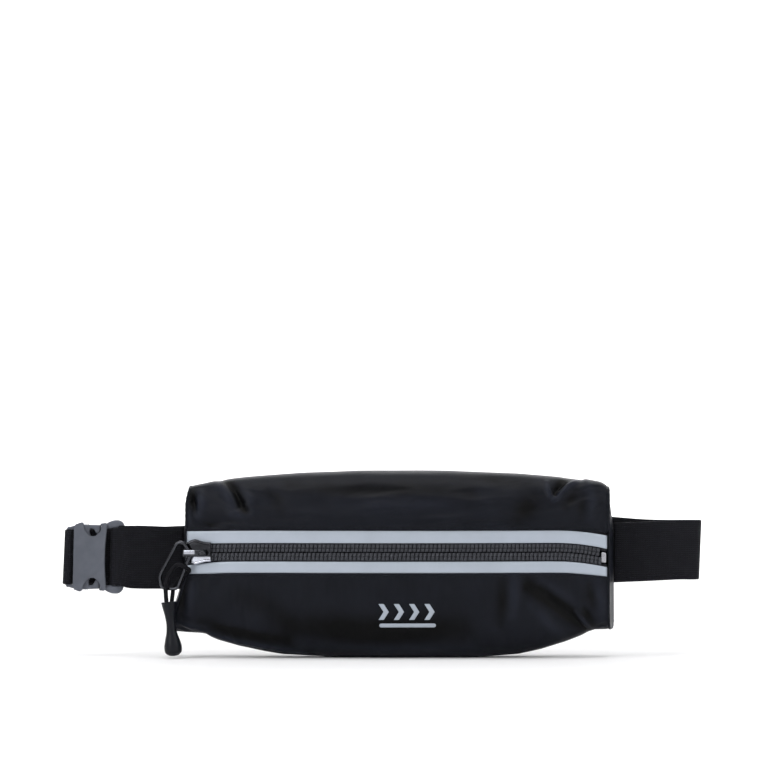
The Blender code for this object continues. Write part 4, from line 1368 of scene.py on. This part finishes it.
def make_long_belt():
    seam_x = zip_place(1.0, 0, 0.0)[0] + RIGHT_FLARE + 0.8
    start = [(seam_x, BACK_Y - 3.0), (135, -0.8), (150, -0.2)]
    fold = plan_arc((RIGHT_SPAN - BELT_T / 2 - 4.5, 4.4), 4.5, -85, 70, 7)
    near = [(135, 15.5), (105, 25.0)]
    rear = [(70, 32.6), (35, 36.6), (0, 38.4), (-35, 36.2), (-70, 31.4), (-105, 22.4), (-130, 12.4),
            (-145, 7.4), (-153.0, 6.1)]
    wrap = HALF_SPAN - BELT_T / 2 + SOCKET_BAR_X
    loop = plan_arc((SOCKET_BAR_X, BUCKLE_Y + 1.9), wrap, 120, 180, 3)
    loop += plan_arc((SOCKET_BAR_X, BUCKLE_Y - 0.1), wrap, 180, 360, 10)
    tail = [(SOCKET_BAR_X + wrap, 0.8), (-154.5, 2.6), (-153.2, 3.9), (-150, 4.1), (-140, 4.2)]
    seam, folded = (51.9, BELT_W), (53.3, BELT_W)
    behind, socket = (55.2, BELT_W), (BUCKLE_Z, LOOP_W)
    points = level(start, seam, folded) + level(fold, folded, folded) + level(near, folded, behind)
    middles = [55.0, 54.3, 53.5, 52.4, 51.0, 49.7, 49.2, 49.4, BUCKLE_Z]
    points += [(x, y, z, BELT_W) for (x, y), z in zip(rear[:-1], middles)]
    points += [(*rear[-1], BUCKLE_Z, LOOP_W)] + level(loop + tail, socket, socket)
    thing = belt_object("elastic_long", belt_path(points))
    thing.data.materials.append(ELASTIC)
    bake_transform(thing)
    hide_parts("long_belt")
    return thing


# ---------------------------------------------------------------- buckle

BUCKLE_LEAN = 0.02                  # the buckle hangs a little out of square


def buckle_frame(along, front, up):
    """Front-view plates on the buckle: along is x, up is measured from the buckle's middle."""
    along, front, up = np.broadcast_arrays(np.asarray(along, float), front, up)
    return np.stack([along + BUCKLE_LEAN * up, BUCKLE_Y - front, BUCKLE_Z + up], axis=-1)


def side_rails(name, corners, radius, thick, bevel):
    """An outline above the buckle's middle and its mirror image below, as two plates."""
    rails = []
    for side in (1, -1):
        outline = rounded_outline([(x, side * z) for x, z in corners][::side], radius, 4)
        rails.append(plate_object(f"{name}{side}", outline, 0.0, thick, bevel, buckle_frame))
    return rails


def make_socket():
    """The female half: two shaped faces with a notch at each edge, end walls, rails and the bar."""
    notch = [(-150.3, 16.9), (-149.8, 13.8), (-147.9, 11.1), (-146.0, 9.9), (-143.4, 9.9), (-142.1, 11.1),
             (-140.6, 12.3), (-140.1, 14.6), (-139.9, 16.5)]
    half = [(-153.8, 0.0), (-153.8, 15.4), (-152.0, 16.5), *notch, (-138.3, 16.4), (-138.8, 11.0),
            (-139.2, 5.0), (-139.3, 0.0)]
    outline = rounded_outline(half + [(x, -z) for x, z in half[1:-1][::-1]], 0.9, 4)
    parts = []
    for label, front in (("front", 3.4), ("rear", -3.4)):
        parts.append(plate_object("socket_" + label, outline, front, 1.35, 0.55, buckle_frame))
    walls = [[(-153.8, -16.6), (-151.4, -16.6), (-151.4, -9.9), (-152.7, -9.9), (-152.7, 9.9), (-151.4, 9.9),
              (-151.4, 16.6), (-153.8, 16.6)]]
    walls += [rectangle(-141.1, side * 15.6, -138.6, side * 16.9) for side in (1, -1)]
    for index, wall in enumerate(walls):
        rounded = rounded_outline(wall, 0.5, 2)
        parts.append(plate_object(f"socket_wall_{index}", rounded, 0.0, 6.4, 0.25, buckle_frame))
    rail = [(-158.5, 13.8), (-157.9, 14.5), (-155.9, 15.3), (-153.0, 16.2), (-151.4, 16.8), (-151.4, 13.8)]
    parts += side_rails("socket_rail_", rail, 0.5, 4.4, 0.5)
    bar = rounded_outline(rectangle(SOCKET_BAR_X - 0.95, -15.2, SOCKET_BAR_X + 0.95, 15.2), 0.4, 3)
    parts.append(plate_object("socket_bar", bar, 0.0, 2.4, 0.6, buckle_frame))
    housing = join_pieces("buckle_socket", parts)
    return finish_piece(housing, PLASTIC, "socket", "buckle_plastic", "socket_housing")


def make_plug():
    """The male half: base, tongue, rounded rails with the webbing's bar between them."""
    base = [(-142.4, -12.9), (-140.6, -12.9), (-140.6, -15.1), (-138.4, -15.1), (-138.4, -12.6),
            (-138.9, -12.6), (-138.9, 12.6), (-138.4, 12.6), (-138.4, 15.1), (-140.6, 15.1), (-140.6, 12.9),
            (-142.4, 12.9), (-142.4, 3.2), (-151.2, 2.6), (-151.6, 0.0), (-151.2, -2.6), (-142.4, -3.2)]
    parts = [plate_object("plug_plate", rounded_outline(base, 0.6, 3), 0.0, 4.5, 0.5, buckle_frame)]
    rail = [(-139.2, 14.3), (-138.9, 16.2), (-137.2, 17.5), (-134.6, 18.5), (-131.4, 18.5), (-129.4, 17.0),
            (-128.8, 14.3)]
    parts += side_rails("plug_rail_", rail, 1.2, 4.9, 1.0)
    bar = rounded_outline(rectangle(PLUG_BAR_X - 1.6, -15.4, PLUG_BAR_X + 1.6, 15.4), 0.5, 3)
    parts.append(plate_object("plug_bar_core", bar, 0.0, 2.4, 0.6, buckle_frame))
    plug = join_pieces("buckle_plug", parts)
    return finish_piece(plug, PLASTIC, "pouch", "buckle_plastic", "plug_base")


# The arm with its hook and finger pad round a dark hole that opens towards the buckle's middle
PRONG_OUTLINE = [(-142.4, 9.0), (-147.4, 9.4), (-149.5, 11.4), (-150.4, 14.0), (-150.0, 16.3), (-140.9, 16.0),
                 (-140.9, 13.4), (-142.4, 11.4), (-143.4, 12.2), (-144.4, 14.0), (-146.3, 14.4),
                 (-146.6, 12.4), (-145.9, 10.4), (-142.4, 10.1)]


def make_prongs():
    for side, label in ((1, "upper"), (-1, "lower")):
        def mirrored_frame(along, front, up, side=side):
            return buckle_frame(along, front, side * np.asarray(up, float))

        outline = rounded_outline(PRONG_OUTLINE, 0.4, 4)
        arm = plate_object("prong_arm_" + label, outline, 0.0, 4.7, 0.6, mirrored_frame)
        if side < 0:
            arm.data.flip_normals()
        grip = []
        for k in range(4):
            x = -149.6 + 0.8 * k
            ridge = [(x, f, side * (16.2 - 0.3 * (k == 0))) for f in np.linspace(-1.7, 1.7, 8)]
            ridge = np.array(ridge)
            grip.append(tube_object(f"prong_grip_{label}_{k}", buckle_frame(*ridge.T), 0.28, 8))
        prong = join_pieces("spring_prong_" + label, [arm, *grip])
        finish_piece(prong, PLASTIC, "prong_" + label, "buckle_plastic", "plug_prong_" + label)


# ---------------------------------------------------------------- assembly

def make_pouch():
    upper = make_panel("shell_upper", upper_section, UPPER_FOLDS, 1, 3, "front_upper_panel")
    lower = make_panel("shell_lower", lower_section, LOWER_FOLDS, -1, 5, "front_lower_panel", ACROSS_LOWER)
    make_panel("shell_back", back_section, [], 1, 9, "back_panel", ACROSS_BACK)
    make_end("shell_end_left", -1, "left_end_panel")
    make_end("shell_end_right", 1, "right_end_panel")
    make_seams()
    stitch_row("stitches_upper", *panel_row(upper, ACROSS))
    stitch_row("stitches_lower", *panel_row(lower, ACROSS_LOWER))
    make_mark(lower)


def main():
    make_camera_and_stage()
    make_cord()
    make_lights()
    make_ring()
    make_tip()
    make_slider()
    make_zip()
    make_pouch()
    make_left_belt()
    make_long_belt()
    make_plug()
    make_prongs()
    make_socket()


main()
